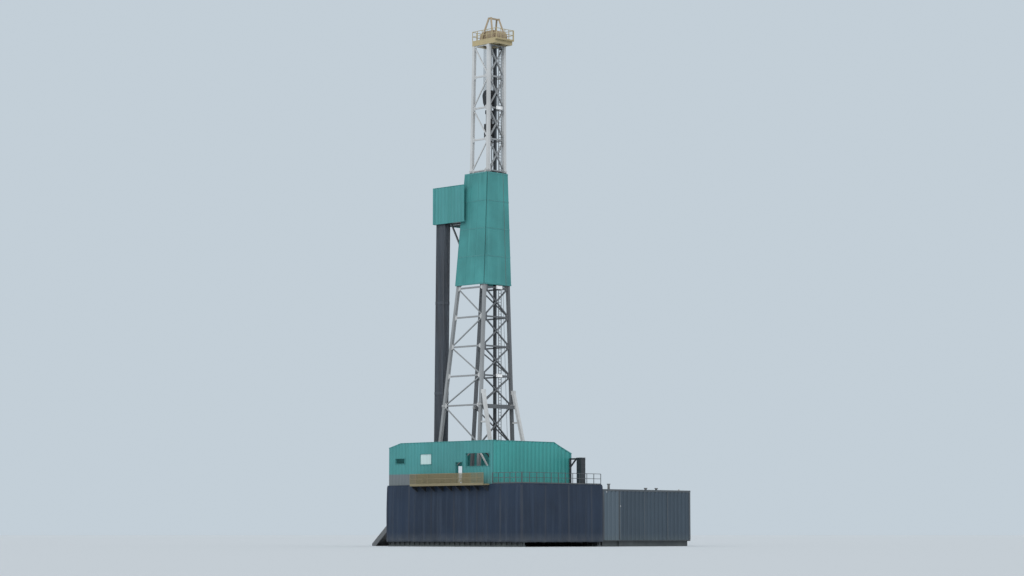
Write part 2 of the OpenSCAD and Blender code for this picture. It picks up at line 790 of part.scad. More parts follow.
// Grooved wheel with its axis along Y, centred on the origin
module sheave() {
  w = sheave_pitch - 2;
  rim = sheave_r + groove;
  rotate([90, 0, 0]) rotate_extrude($fn = 48) polygon([
    [9, -w / 2], [22, -w / 2], [26, -w / 6], [sheave_r - 10, -w / 6], [sheave_r - 4, -w / 2], [rim, -w / 2],
    [sheave_r, -line_d / 2 - fit], [sheave_r, line_d / 2 + fit], [rim, w / 2], [sheave_r - 4, w / 2],
    [sheave_r - 10, w / 6], [26, w / 6], [22, w / 2], [9, w / 2]
  ]);
}

function sheave_y(i) = (i - (sheaves - 1) / 2) * sheave_pitch;

// Distance from a sheave's centre to the middle of the line on it
line_r = sheave_r + line_d / 2 + fit;
axle_r = 9 - fit;

// The crown's main sheaves stand half a space over from the block's, and a sheave behind them leads the fast line down
crown_axle_z = crown_top + 30;
lead_x = 2 * line_r;
lead_y = sheave_y(0) - sheave_pitch / 2;
module crown_sheaves() {
  axle_l = 128;
  color(STEEL) {
    for (i = [0 : sheaves - 1]) translate([0, sheave_y(i) + sheave_pitch / 2, crown_axle_z]) sheave();
    translate([lead_x, lead_y, crown_axle_z]) sheave();
    for (x = [0, lead_x]) translate([x, axle_l / 2, crown_axle_z]) rotate([90, 0, 0])
      cylinder(r = axle_r, h = axle_l, $fn = 32);
    for (x = [0, lead_x], s = [-1, 1]) translate([x, s * 58, 0]) difference() {
      translate([-15, -6, crown_top + fit]) cube([30, 12, 46]);
      translate([0, 7, crown_axle_z]) rotate([90, 0, 0]) cylinder(r = 9, h = 14, $fn = 32);
    }
  }
}

// Cover over the crown's sheaves, open below for the lines
guard_half = 69;
module crown_guard() {
  t = 3;
  r = sheave_r + groove + 6;
  color(YELLOW) translate([0, guard_half, crown_axle_z]) rotate([90, 0, 0]) difference() {
    linear_extrude(2 * guard_half) guard_outline(r + t);
    translate([0, 0, t]) linear_extrude(2 * (guard_half - t)) guard_outline(r);
    translate([-r, crown_top - crown_axle_z - over, t]) cube([lead_x + 2 * r, over + 1, 2 * (guard_half - t)]);
  }
}

module guard_outline(r) {
  z0 = crown_top + fit - crown_axle_z;
  intersection() {
    union() {
      for (x = [0, lead_x]) translate([x, 0]) circle(r = r, $fn = 64);
      translate([-r, z0]) square([lead_x + 2 * r, -z0]);
      translate([0, 0]) square([lead_x, r]);
    }
    translate([-r, z0]) square([lead_x + 2 * r, 2 * r]);
  }
}

module gin_frame() {
  b = 15;
  z0 = crown_top + fit;
  z1 = crown_top + gin_h - b / 2;
  mid = lead_x * 0.55;
  spread = 96;
  top_spread = 16;
  foot_y = crown_half - 20;
  head_y = 56;
  color(YELLOW) {
    for (s = [-1, 1]) {
      difference() {
        for (d = [-1, 1]) bar([mid + d * spread, s * foot_y, z0 - 2 * b], [mid + d * top_spread, s * head_y, z1], b);
        translate([-crown_front - over, -crown_half - over, z0 - 4 * b])
          cube([crown_front + crown_rear + 2 * over, 2 * (crown_half + over), 4 * b]);
      }
      translate([mid - top_spread - b / 2, s * head_y - b / 2, z1 - b / 2]) cube([2 * top_spread + b, b, b]);
    }
    translate([mid - b / 2, -head_y - b / 2, z1 - b / 2]) cube([b, 2 * head_y + b, b]);
  }
}

// Racking board, its walls and the wrap round the mast

board_t = 8;
wrap_low = middle_level(middle_bays / 2) + wrap_foot_gap;
wrap_high = knee_h - wrap_top_gap;
wrap_reach = function(h) wrap_front_low + (wrap_front - wrap_front_low) * (h - wrap_low) / (wrap_high - wrap_low);
board_inner = front_at(board_h) + wrap_reach(board_h) + 6;
board_rim = 12;
finger = 4.5;
stand_x0 = -board_front + board_rim + (pipe_pitch - finger) / 2 + fit;
stand_y0 = -board_half + board_rim + (pipe_pitch - finger) / 2 + fit;

// Arm that carries the board on the front face of a mast leg, with a brace down to the leg
module board_arm() {
  depth = 46;
  drop = 330;
  lean_y = half_at(board_h);
  leg_x = function(h) -(front_at(h) + leg / 2 / cos(atan((base_front - knee_front) / knee_h)) + fit);
  translate([0, -lean_y, floor_z]) rotate([90, 0, 0]) linear_extrude(leg * 0.6, center = true) {
    polygon([
      [-board_inner - 2, board_h - fit - depth * 0.4], [leg_x(board_h - depth), board_h - depth],
      [leg_x(board_h + board_t), board_h + board_t], [-board_inner - 2, board_h + board_t]
    ]);
    intersection() {
      strip([-board_front * 0.7, board_h + 6], [leg_x(board_h - drop) + leg / 2, board_h - drop], brace);
      polygon([
        [-board_front, board_h + 1], [-board_front, board_h - drop - leg],
        [leg_x(board_h - drop - leg), board_h - drop - leg], [leg_x(board_h), board_h], [-board_inner, board_h + 1]
      ]);
    }
  }
}

module racking_board() {
  walk = 44;
  way = 42;
  l = board_front - board_inner;
  fingers = floor((l - 2 * board_rim - 8) / pipe_pitch);
  color(STEEL) {
    translate([0, 0, board_z]) {
      linear_extrude(board_t) {
        difference() {
          translate([-board_front + fit, -board_half + fit]) square([l - fit, 2 * (board_half - fit)]);
          translate([-board_front + board_rim, -board_half + board_rim])
            square([l - 2 * board_rim, 2 * (board_half - board_rim)]);
        }
        // Diving board down the middle, out to the travelling gear
        translate([-board_front + board_rim - 1, -walk / 2]) square([board_front - board_rim + 1 - 118, walk]);
        // Beams above the arms
        for (s = [-1, 1]) translate([-board_front * 0.74, s * half_at(board_h) - leg * 0.3])
          square([board_front * 0.74 - board_inner, leg * 0.6]);
      }
      // Fingers reach in from both sides and leave a way beside the diving board
      for (s = [-1, 1], i = [1 : fingers]) let (x = -board_front + board_rim + fit + i * pipe_pitch - finger / 2)
        translate([x - finger / 2, s > 0 ? walk / 2 + way : -board_half + board_rim - 1, 1])
          cube([finger, board_half - board_rim + 1 - walk / 2 - way, board_t - 2]);
    }
    both_sides() board_arm();
  }
}

board_rail = 9;
board_wall_lap = 95;
board_wall_rib = 2.4;
module board_wall(l) {
  folded_sheet(l, board_wall_h, wall_t, board_wall_rib, wall_pitch);
  for (z = [0, board_wall_h - board_rail]) translate([0, -1, z]) cube([l, board_rail + 1, board_rail]);
}

// The board rests on the lower rails of its walls, which lap past the wrap, and the front wall closes their ends
module racking_walls() {
  back = board_rail + fit;
  l = board_front - back - board_inner + board_wall_lap;
  reach = board_half + wall_t + board_wall_rib;
  color(TEAL) translate([0, 0, board_z - fit - board_rail]) {
    near_face(-board_front + back, board_half) board_wall(l);
    far_face(-board_front + back + l, board_half) board_wall(l);
    front_face(-board_front, reach) board_wall(2 * reach);
  }
}

// Sheet on one side of the mast, parallel to the legs
module wrap_side() {
  h0 = wrap_low;
  h1 = wrap_high;
  t = lean(h0, h1);
  v1 = (h1 - h0) / cos(t);
  rear = mast_back + leg / 2;
  bars = 4;
  color(TEAL) translate([0, -half_at(h0), floor_z + h0]) rotate([90 - t, 0, 0]) {
    translate([0, 0, leg / 2 + wrap_off]) linear_extrude(wall_t) polygon([
      [-front_at(h0) - wrap_reach(h0), 0], [rear, 0], [rear, v1], [-front_at(h1) - wrap_reach(h1), v1]
    ]);
    // Bars that stand the sheet off from the legs
    translate([0, 0, leg / 2 + fit]) linear_extrude(wrap_off + 1) for (i = [0 : bars])
      let (v = wrap_frame + i * (v1 - 2 * wrap_frame) / bars, h = h0 + v * cos(t))
        strip([-front_at(h) - wrap_reach(h) * 0.9, v], [mast_back, v], wrap_frame);
  }
}

module wrap_near() wrap_side();
module wrap_far() far_side() wrap_side();

wrap_rear_off = 4;
module wrap_rear() {
  h0 = wrap_low;
  h1 = wrap_high;
  bars = 4;
  edge = leg / 2 + wrap_off - fit;
  color(TEAL) translate([mast_back, 0, floor_z]) rotate([90, 0, 90]) {
    translate([0, 0, leg / 2 + wrap_rear_off]) linear_extrude(wall_t) polygon([
      [-half_at(h0) - edge, h0], [half_at(h0) + edge, h0], [half_at(h1) + edge, h1], [-half_at(h1) - edge, h1]
    ]);
    translate([0, 0, leg / 2 + fit]) linear_extrude(wrap_rear_off + 1) for (i = [0 : bars])
      let (h = h0 + wrap_frame + i * (h1 - h0 - 2 * wrap_frame) / bars)
        strip([-half_at(h), h], [half_at(h), h], wrap_frame);
  }
}

// Stands of drill pipe that lean from the floor into the fingers, each of three joints
stand_lean_x = 17;
stand_lean_y = 13;
module pipe_stand() {
  top = board_h + pipe_over;
  joint_d = pipe_d + 3.4;
  joint_l = 30;
  joints = 3;
  translate([-stand_lean_x, -stand_lean_y, 0]) rotate([0, atan(stand_lean_x / board_h), 0])
    rotate([-atan(stand_lean_y / board_h), 0, 0]) {
      cylinder(d = pipe_d, h = top, $fn = 24);
      for (k = [0 : joints]) translate([0, 0, k * (top - joint_l) / joints])
        cylinder(d = joint_d, h = joint_l, $fn = 24);
    }
}

module pipe_stands() {
  color(DARK_STEEL) for (i = [0 : pipe_rows - 1], j = [0 : pipe_cols - 1])
    translate([stand_x0 + i * pipe_pitch, stand_y0 + j * pipe_pitch, floor_z + 2 * fit]) pipe_stand();
}

// Travelling gear, drawn round the middle of the block's sheaves at rest

block_z = floor_z + block_h;

module travelling_block() {
  plate = 8;
  half = sheaves * sheave_pitch / 2 + 1;
  color(DARK_STEEL) translate([0, 0, block_z]) {
    for (i = [0 : sheaves - 1]) translate([0, sheave_y(i), 0]) sheave();
    translate([0, half + plate + 4, 0]) rotate([90, 0, 0]) cylinder(r = axle_r, h = 2 * (half + plate + 4), $fn = 32);
    for (s = [-1, 1]) translate([0, s * (half + plate / 2), 0]) rotate([90, 0, 0])
      linear_extrude(plate, center = true) difference() {
        union() {
          circle(r = 60, $fn = 48);
          polygon([[-60, 0], [60, 0], [50, -70], [30, -112], [-30, -112], [-50, -70]]);
        }
        circle(r = 9, $fn = 32);
      }
    translate([-26, -half - 1, -112]) cube([52, 2 * half + 2, 26]);
    translate([0, 0, -150]) cylinder(r = 17, h = 40, $fn = 32);
  }
}

hook_drop = 190;
drive_z = block_z - hook_drop;
link_l = 330;
bail_w = 92;
dolly_gap = 5.5;
module top_drive() {
  w = 84;
  d = 70;
  color(DARK_STEEL) translate([0, 0, drive_z]) {
    // Bail ring under the block
    translate([0, 0, 0]) difference() {
      translate([-14, -bail_w / 2, 0]) cube([28, bail_w, hook_drop - 150 - fit]);
      translate([-20, -30, -over]) cube([40, 60, 20 + over]);
    }
    // Motor housing with its gear case and swivel
    translate([-d / 2, -w / 2, -drive_body_h]) cube([d, w, drive_body_h * 0.62]);
    for (s = [-1, 1]) translate([0, s * 38, -drive_body_h * 0.4]) cylinder(r = 8, h = drive_body_h * 0.4 + 1, $fn = 24);
    translate([0, 0, -drive_body_h * 0.4]) cylinder(r = 26, h = 60, $fn = 32);
    translate([0, 0, -drive_body_h - 60]) cylinder(r = 22, h = 62, $fn = 32);
    translate([0, 0, -drive_body_h - 90]) cylinder(r = 10, h = 34, $fn = 32);
    // Dolly arms that follow the guide rail
    for (z = [-drive_body_h * 0.95, -drive_body_h * 0.55]) translate([0, 0, z]) linear_extrude(36) {
      translate([d / 2 - 1, -guide_w / 2]) square([guide_x - dolly_gap - d / 2 + 1, guide_w]);
      translate([d / 2 - 1, -w / 2 + 6]) square([14, w - 12]);
    }
    // Links down to the elevator
    for (s = [-1, 1]) {
      translate([-8, s * 34 - 5, -drive_body_h - 48]) cube([16, 10, 50]);
      translate([0, s * 34, -drive_body_h - link_l + 10]) cylinder(r = 4.5, h = link_l - 50, $fn = 24);
    }
    translate([0, 0, -drive_body_h - link_l]) difference() {
      translate([-20, -42, -14]) cube([40, 84, 30]);
      translate([0, 0, -20]) cylinder(r = 8.5, h = 50, $fn = 32);
    }
  }
}

// Parts of line between the crown sheaves and the block's sheaves
module drill_lines() {
  color(STEEL) {
    rod([line_r, sheave_y(0), block_z], [line_r, lead_y, crown_axle_z], line_d);
    for (i = [0 : sheaves - 1]) {
      crown_y = sheave_y(i) + sheave_pitch / 2;
      rod([-line_r, sheave_y(i), block_z], [-line_r, crown_y, crown_axle_z], line_d);
      if (i < sheaves - 1) rod([line_r, sheave_y(i + 1), block_z], [line_r, crown_y, crown_axle_z], line_d);
    }
  }
}

// Fast line from the lead sheave to the drum behind the mast, and dead line down to its anchor on the floor
anchor_x = 70;
anchor_y = 205;
module hoist_lines() {
  anchor_h = 70;
  dead_y = sheave_y(sheaves - 1) + sheave_pitch / 2;
  color(STEEL) {
    rod([lead_x + line_r, lead_y, crown_axle_z], [drum_x - drum_r - line_d, lead_y, drum_z], line_d);
    rod([line_r, dead_y, crown_axle_z], [anchor_x, anchor_y, floor_z + anchor_h - 5], line_d);
    translate([anchor_x, anchor_y, floor_z + fit]) cylinder(r = 16, h = anchor_h, $fn = 32);
  }
}

module mast_ladder() {
  rung = 30;
  w = 42;
  stile = 5;
  h = mast_h - 10;
  n = floor((h - 20) / rung);
  color(STEEL) translate([mast_back - girt / 2 - fit - 2.25, 42, floor_z + fit]) rotate([90, 0, 90])
    linear_extrude(4.5, center = true) difference() {
      square([w, h]);
      for (i = [0 : n - 1]) translate([stile, 12 + i * rung]) square([w - 2 * stile, rung - 4]);
    }
}

// Lamps on brackets in the middle of the mast's rear face
lamp_y = 15;
function middle_level(i) = a_frame_h + (knee_h - a_frame_h) * i / middle_bays;
function upper_level(i) = knee_h + (mast_h - knee_h) * i / upper_bays;
module floodlights() {
  lamp_w = 74;
  lamp_h = 34;
  lamp_t = 16;
  arm = 12;
  color([0.9, 0.92, 0.92]) for (h = [middle_level(1), middle_level(4), upper_level(2)])
    translate([mast_back + girt / 2 + fit, lamp_y, floor_z + h]) {
      translate([0, -4, -5]) cube([arm + 1, 8, 10]);
      translate([arm, -lamp_w / 2, -lamp_h / 2]) difference() {
        cube([lamp_t, lamp_w, lamp_h]);
        translate([lamp_t - 3, 4, 4]) cube([over, lamp_w - 8, lamp_h - 8]);
      }
    }
}

// Tank house beside the rig

tank_roof_t = 12;
tank_x1 = floor_rear;
tank_x0 = tank_x1 - tank_w;

tank_floor_t = 10;
tank_wall_t = 4;
tank_in = tank_rib + tank_wall_t;
tank_wall_z = tank_skid_h + fit;
tank_wall_h = tank_h - tank_roof_t - fit - tank_wall_z;

// Three skids with a floor plate on them, and a broad foot beside the rear one
module tank_house_base() {
  skid = 40;
  edge = 3;
  support = [76, 210];
  color(DARK_STEEL) {
    for (x = [tank_x0 + 30, (tank_x0 + tank_x1 - skid) / 2, tank_x1 - 30 - skid])
      translate([x, tank_y0 + 20, 0]) cube([skid, tank_l - 40, tank_skid_h - tank_floor_t + 1]);
    translate([tank_x1 - support[0] - 16, tank_y0 + 250, 0]) cube([support[0], support[1], tank_skid_h - tank_floor_t + 1]);
    translate([tank_x0 + edge, tank_y0 + edge, tank_skid_h - tank_floor_t])
      cube([tank_w - 2 * edge, tank_l - 2 * edge, tank_floor_t]);
  }
}

// Ribbed panels that stand on the edge of the floor plate
module tank_house_walls() {
  corner = 1;
  color(SLATE) translate([0, 0, tank_wall_z]) {
    rear_face(tank_x1 - tank_in, tank_y0 + tank_in + corner)
      folded_sheet(tank_l - 2 * tank_in - 2 * corner, tank_wall_h, tank_wall_t, tank_rib, tank_pitch);
    front_face(tank_x0 + tank_in, tank_y0 + tank_l - tank_in - corner)
      folded_sheet(tank_l - 2 * tank_in - 2 * corner, tank_wall_h, tank_wall_t, tank_rib, tank_pitch);
    translate([tank_x0 + tank_in, tank_y0 + tank_in, 0])
      folded_sheet(tank_w - 2 * tank_in, tank_wall_h, tank_wall_t, tank_rib, tank_pitch);
    translate([tank_x1 - tank_in, tank_y0 + tank_l - tank_in, 0]) rotate(180)
      folded_sheet(tank_w - 2 * tank_in, tank_wall_h, tank_wall_t, tank_rib, tank_pitch);
  }
}

module tank_house_roof() {
  curb = 6;
  color(SLATE) translate([tank_x0, tank_y0, tank_h - tank_roof_t]) {
    cube([tank_w, tank_l, tank_roof_t]);
    // Curb that locates the roof inside the walls
    difference() {
      translate([tank_in + 1, tank_in + 1, -curb]) cube([tank_w - 2 * tank_in - 2, tank_l - 2 * tank_in - 2, curb + 1]);
      translate([tank_in + 12, tank_in + 12, -curb - over])
        cube([tank_w - 2 * tank_in - 24, tank_l - 2 * tank_in - 24, curb + over]);
    }
  }
}

// Vents near the rear edge, given by their shares of the length and the height of the house
vent_in = 60;
module tank_house_vents() color(STEEL)
  for (v = [[0.023, 0.086], [0.114, 0.107], [0.53, 0.046], [0.652, 0.046]])
    translate([tank_x1 - vent_in, tank_y0 + v[0] * tank_l, tank_h + fit]) {
      cylinder(r = 12, h = v[1] * tank_h, $fn = 24);
      translate([0, 0, v[1] * tank_h - 6]) cylinder(r = 18, h = 8, $fn = 24);
    }

placed() base_beams();
placed() sub_frames();
placed() cross_frames();
placed() drill_floor();
placed() rotary_table();
placed() skirt_near();
placed() skirt_far();
placed() skirt_front();
placed() skirt_rear();
placed() windwall_near();
placed() windwall_far();
placed() windwall_front();
placed() windwall_rear();
placed() side_window();
placed() porch();
placed() floor_rails();
placed() handling_frame();
placed() pipe_ramp();
placed() stair_stringers();
placed() stair_treads();
placed() stair_rails();
placed() drawworks();
placed() mast_near_lower();
placed() mast_near_middle();
placed() mast_near_upper();
placed() mast_far_lower();
placed() mast_far_middle();
placed() mast_far_upper();
placed() mast_back_lower();
placed() mast_back_middle();
placed() mast_back_upper();
placed() guide_rail();
placed() a_frame_legs();
placed() a_frame_head();
placed() crown_frame();
placed() crown_rail();
placed() crown_sheaves();
placed() crown_guard();
placed() gin_frame();
placed() racking_board();
placed() racking_walls();
placed() wrap_near();
placed() wrap_far();
placed() wrap_rear();
placed() pipe_stands();
placed() travelling_block();
placed() top_drive();
placed() drill_lines();
placed() hoist_lines();
placed() mast_ladder();
placed() floodlights();
placed() tank_house_base();
placed() tank_house_walls();
placed() tank_house_roof();
placed() tank_house_vents();
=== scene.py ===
"""Looks of the 1:10 land drilling rig: materials for every CAD node, the hung tarpaulins,
the drilling line between its sheaves, and the small fittings that the solids leave out.
Lengths are design millimetres. Places are counted from the well centre and the ground, as in
the CAD source, and at() turns them into the row frame."""
import bpy
import random
from collections import namedtuple
from math import ceil, cos, pi, radians, sin
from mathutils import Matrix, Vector


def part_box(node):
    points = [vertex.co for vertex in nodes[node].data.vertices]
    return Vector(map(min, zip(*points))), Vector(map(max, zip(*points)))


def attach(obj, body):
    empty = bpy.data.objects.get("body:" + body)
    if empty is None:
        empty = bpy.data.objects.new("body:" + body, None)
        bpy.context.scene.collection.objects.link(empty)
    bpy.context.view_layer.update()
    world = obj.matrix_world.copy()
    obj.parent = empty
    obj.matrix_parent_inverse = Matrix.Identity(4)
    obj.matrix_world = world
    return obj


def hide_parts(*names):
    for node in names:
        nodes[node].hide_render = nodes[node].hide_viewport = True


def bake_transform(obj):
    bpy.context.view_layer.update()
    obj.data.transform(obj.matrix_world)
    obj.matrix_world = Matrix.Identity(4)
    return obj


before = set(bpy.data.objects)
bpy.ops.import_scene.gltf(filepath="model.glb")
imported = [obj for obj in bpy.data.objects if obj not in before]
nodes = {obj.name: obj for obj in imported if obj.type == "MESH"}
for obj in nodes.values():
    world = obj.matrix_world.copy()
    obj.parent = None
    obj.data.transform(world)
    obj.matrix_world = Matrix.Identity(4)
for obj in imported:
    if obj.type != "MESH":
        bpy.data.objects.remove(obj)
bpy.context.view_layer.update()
scene = bpy.context.scene

# The well centre in the row frame, in metres
rotary_lo, rotary_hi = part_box("rotary_table")
WELL = Vector(((rotary_lo.x + rotary_hi.x) / 2, (rotary_lo.y + rotary_hi.y) / 2, 0))

X, Y, Z = 0, 1, 2
UP = Vector((0, 0, 1))
SIDES = (-1, 1)
Box = namedtuple("Box", "x0 y0 z0 x1 y1 z1")


def at(x, y, z):
    """A point given in design millimetres, in the row frame in metres."""
    return WELL + Vector((x, y, z)) / 1000


def box_of(node):
    """The box of a CAD node at rest in design millimetres, to a tenth."""
    return Box(*(round(c, 1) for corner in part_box(node) for c in (corner - WELL) * 1000))


# Boxes of the nodes that carry fittings
floor = box_of("drill_floor")
near_wall = box_of("windwall_near")
porch = box_of("porch")
crown = box_of("crown_frame")
guard_box = box_of("crown_guard")
guide = box_of("guide_rail")
board_walls = box_of("racking_walls")
winch = box_of("drawworks")
post = box_of("handling_frame")
stair = box_of("stair_stringers")
tank = box_of("tank_house_roof")
wrap = box_of("wrap_rear")

FRONT, REAR, HALF, FLOOR_Z = floor.x0, floor.x1, floor.y1, floor.z1

# Sizes that the CAD source names too
FIT = 0.3
LEG, GIRT = 30, 16
MAST_H, KNEE_H, SPLICE_H = 4460, 3170, 800
BASE_FRONT, KNEE_FRONT, TOP_FRONT = 520, 135, 108
BASE_HALF, KNEE_HALF, TOP_HALF = 250, 115, 108
MAST_BACK, A_FRAME_FOOT = 100, 350
SHEAVES, SHEAVE_R, SHEAVE_PITCH, LINE_D = 5, 56, 13, 3.5
RAMP_W, STAIR_W, STAIR_TREADS = 240, 90, 26

BLOCK_Z = FLOOR_Z + 3950
CROWN_AXLE_Z = crown.z1 + 30
LINE_R = SHEAVE_R + LINE_D / 2 + FIT
LEAD_X = 2 * LINE_R
DRUM_X, DRUM_Z = (winch.x0 + winch.x1) / 2, FLOOR_Z + 95


def taper(h, base, knee, top):
    """A measure of the mast at height h above the floor, given at its base, knee and top."""
    if h < KNEE_H:
        return base + (knee - base) * h / KNEE_H
    return knee + (top - knee) * (h - KNEE_H) / (MAST_H - KNEE_H)


def half_at(h):
    """Half the distance between the mast's sides at height h."""
    return taper(h, BASE_HALF, KNEE_HALF, TOP_HALF)


def front_leg(h):
    """The x of the front legs at height h."""
    return -taper(h, BASE_FRONT, KNEE_FRONT, TOP_FRONT)


def back_leg(h):
    """The x of the back legs, the same at every height."""
    return MAST_BACK


def bay_ends(low, high, bays):
    """The heights above the floor where the bays of one mast section end."""
    return [low + (high - low) * i / bays for i in range(1, bays + 1)]


LOWER = bay_ends(0, SPLICE_H, 2)
MIDDLE = bay_ends(SPLICE_H, KNEE_H, 8)
UPPER = bay_ends(KNEE_H, MAST_H, 4)
LEVELS = [0] + LOWER + MIDDLE + UPPER


def steps(start, stop, step):
    """Numbers a step apart, from start until stop is reached."""
    return [start + step * k for k in range(ceil((stop - start) / step))]


def circle(r, n):
    """The n points of a circle, as pairs."""
    turns = [2 * pi * k / n for k in range(n)]
    return [(r * cos(a), r * sin(a)) for a in turns]


# Shader nodes: in these functions t is a node tree and co its object coordinates

def feed(t, socket, value):
    """Links value to a socket, or sets the socket to a number, a vector or a colour."""
    if isinstance(value, bpy.types.NodeSocket):
        t.links.new(value, socket)
    elif socket.type == "RGBA":
        socket.default_value = (*value, 1)
    else:
        socket.default_value = value


def node(t, kind, sockets, **settings):
    """A new shader node with these settings; sockets says what goes into its inputs."""
    n = t.nodes.new("ShaderNode" + kind)
    for key, value in settings.items():
        setattr(n, key, value)
    for key, value in sockets.items():
        feed(t, n.inputs[key], value)
    return n


def new_material(name):
    """An empty material, with its node tree and its object coordinates."""
    m = bpy.data.materials.new(name)
    m.use_nodes = True
    t = m.node_tree
    t.nodes.clear()
    return m, t, node(t, "TexCoord", {}).outputs["Object"]


def finished(m, sockets):
    """The material with its surface, whose inputs are given."""
    t = m.node_tree
    surface = node(t, "BsdfPrincipled", sockets)
    node(t, "OutputMaterial", {"Surface": surface.outputs[0]})
    return m


def noise(t, co, scale, detail, stretch=(1, 1, 1)):
    mapping = node(t, "Mapping", {"Vector": co, "Scale": stretch})
    grain = {"Vector": mapping.outputs[0], "Scale": scale, "Detail": detail}
    return node(t, "TexNoise", grain).outputs["Fac"]


def bands(t, co, scale, direction, distortion=0.0):
    waves = {"Vector": co, "Scale": scale, "Distortion": distortion}
    return node(t, "TexWave", waves, bands_direction=direction).outputs["Fac"]


def rise(t, value, low, high, top=1.0):
    """0 where value is under low, rising to top at high."""
    r = node(t, "ValToRGB", {0: value})
    for stop, place, grey in zip(r.color_ramp.elements, (low, high), (0.0, top)):
        stop.position = place
        stop.color = (grey, grey, grey, 1)
    return r.outputs[0]


def mix(t, share, a, b):
    return node(t, "Mix", {0: share, 6: a, 7: b}, data_type="RGBA").outputs[2]


def maths(t, operation, a, b):
    """Two values put together by an operation, held between 0 and 1."""
    return node(t, "Math", {0: a, 1: b}, operation=operation, use_clamp=True).outputs[0]


def times(t, a, b):
    return maths(t, "MULTIPLY", a, b)


def mapped(t, value, start, end, low=0.0, high=1.0):
    """Value turned into low at start and high at end, and held there beyond them."""
    ends = {"From Min": start, "From Max": end, "To Min": low, "To Max": high}
    return node(t, "MapRange", {"Value": value, **ends}).outputs[0]


def axis_value(t, co, axis):
    return node(t, "SeparateXYZ", {0: co}).outputs[axis]


def zone(t, co, axis, low, high, soft):
    """1 between low and high along an axis, with soft edges, all in design millimetres."""
    value = axis_value(t, co, axis)
    low, high, soft = at(low, low, low)[axis], at(high, high, high)[axis], soft / 1000
    above = mapped(t, value, low - soft, low + soft)
    below = mapped(t, value, high + soft, high - soft)
    return times(t, above, below)


def dirt_share(t, co, clean_z, dirty_z):
    """Rises from 0 at height clean_z to 1 at dirty_z."""
    return mapped(t, axis_value(t, co, Z), clean_z / 1000, dirty_z / 1000)


def bump(t, height, strength, distance=0.001):
    relief = {"Height": height, "Strength": strength, "Distance": distance}
    return node(t, "Bump", relief).outputs[0]


def shaded(colour, share):
    """A colour darkened to a share of itself."""
    return [c * share for c in colour]


# Paints

GRIME = (0.125, 0.15, 0.145)
RUNS_STRETCH = (38, 38, 1.6)
# Scales of the noise, from wide clouds of colour to the relief of the coat
CLOUDS, PATCHES, SMUDGES, GRAIN, COAT = 2.2, 7, 9, 150, 240


def paint(name, base, worn, streak, rough=0.5, metal=0.0, spots=0.62, grime=None, areas=None):
    """Weathered paint: uneven colour, runs down the face, bare spots above the noise value
    spots, dirt that fades out between the two heights of grime, and areas in another colour."""
    m, t, co = new_material(name)
    col = mix(t, rise(t, noise(t, co, CLOUDS, 5), 0.3, 0.72), base, shaded(base, 0.8))
    upright_streaks = noise(t, co, 1.0, 6, RUNS_STRETCH)
    col = mix(t, rise(t, upright_streaks, 0.45, 0.73, 0.55), col, streak)
    if areas:
        col = areas(t, co, col)
    fine = noise(t, co, GRAIN, 9)
    patches = rise(t, noise(t, co, PATCHES, 5), 0.42, 0.66)
    chips = rise(t, fine, spots - 0.04, spots + 0.06, 0.75)
    col = mix(t, times(t, patches, chips), col, worn)
    if grime:
        dirty_z, clean_z = grime
        uneven = times(t, noise(t, co, SMUDGES, 6), 0.7)
        dirt = times(t, dirt_share(t, co, clean_z, dirty_z), uneven)
        col = mix(t, dirt, col, GRIME)
    gloss = mapped(t, fine, 0.0, 1.0, rough - 0.12, rough + 0.18)
    relief = bump(t, noise(t, co, COAT, 5), 0.25, 0.0008)
    return finished(m, {"Base Color": col, "Roughness": gloss, "Metallic": metal, "Normal": relief})


OLIVE_END = 300
LIGHT_START, LIGHT_END = 500, 842


def kick_plates(t, co, col):
    """The grey kick plates at the foot of the near wall, olive along the porch."""
    low = zone(t, co, Z, FLOOR_Z - 110, FLOOR_Z + 110, 3)
    foot = times(t, low, zone(t, co, Y, near_wall.y0 - 38, near_wall.y1, 2))
    grey = (near_wall.x0 - 24, porch.x0, (0.13, 0.15, 0.165))
    olive = (porch.x0, OLIVE_END, (0.2, 0.17, 0.085))
    for x0, x1, colour in (grey, olive):
        col = mix(t, times(t, foot, zone(t, co, X, x0, x1, 2)), col, colour)
    return col


def light_end(t, co, col):
    """The tank house is a lighter grey where it meets the rig."""
    return mix(t, zone(t, co, Y, LIGHT_START, LIGHT_END, 3), col, (0.074, 0.106, 0.135))


def dark_behind_walls(t, co, col):
    """Rails are olive tan beside the porch and dark on the platform behind the walls."""
    return mix(t, zone(t, co, X, porch.x1 + 10, REAR + 180, 2), col, (0.075, 0.085, 0.095))


TEAL = paint("teal_paint", (0.056, 0.275, 0.278), (0.13, 0.3, 0.29), (0.036, 0.205, 0.195), 0.42,
             spots=0.7, grime=(FLOOR_Z + 10, FLOOR_Z + 130), areas=kick_plates)
# Painted light: the rear wind wall has the same teal paint as the others, and this brighter copy
# paints the light that falls on the rear side.
TEAL_REAR_PAINTED_LIGHT = paint("teal_rear_painted_light", (0.044, 0.335, 0.32), (0.13, 0.33, 0.32), (0.034, 0.25, 0.24),
                  0.42, spots=0.7, grime=(FLOOR_Z - 30, FLOOR_Z + 70))
TEAL_MAST = paint("teal_gear_paint", (0.064, 0.29, 0.293), (0.13, 0.33, 0.32), (0.034, 0.2, 0.19),
                  spots=0.7)
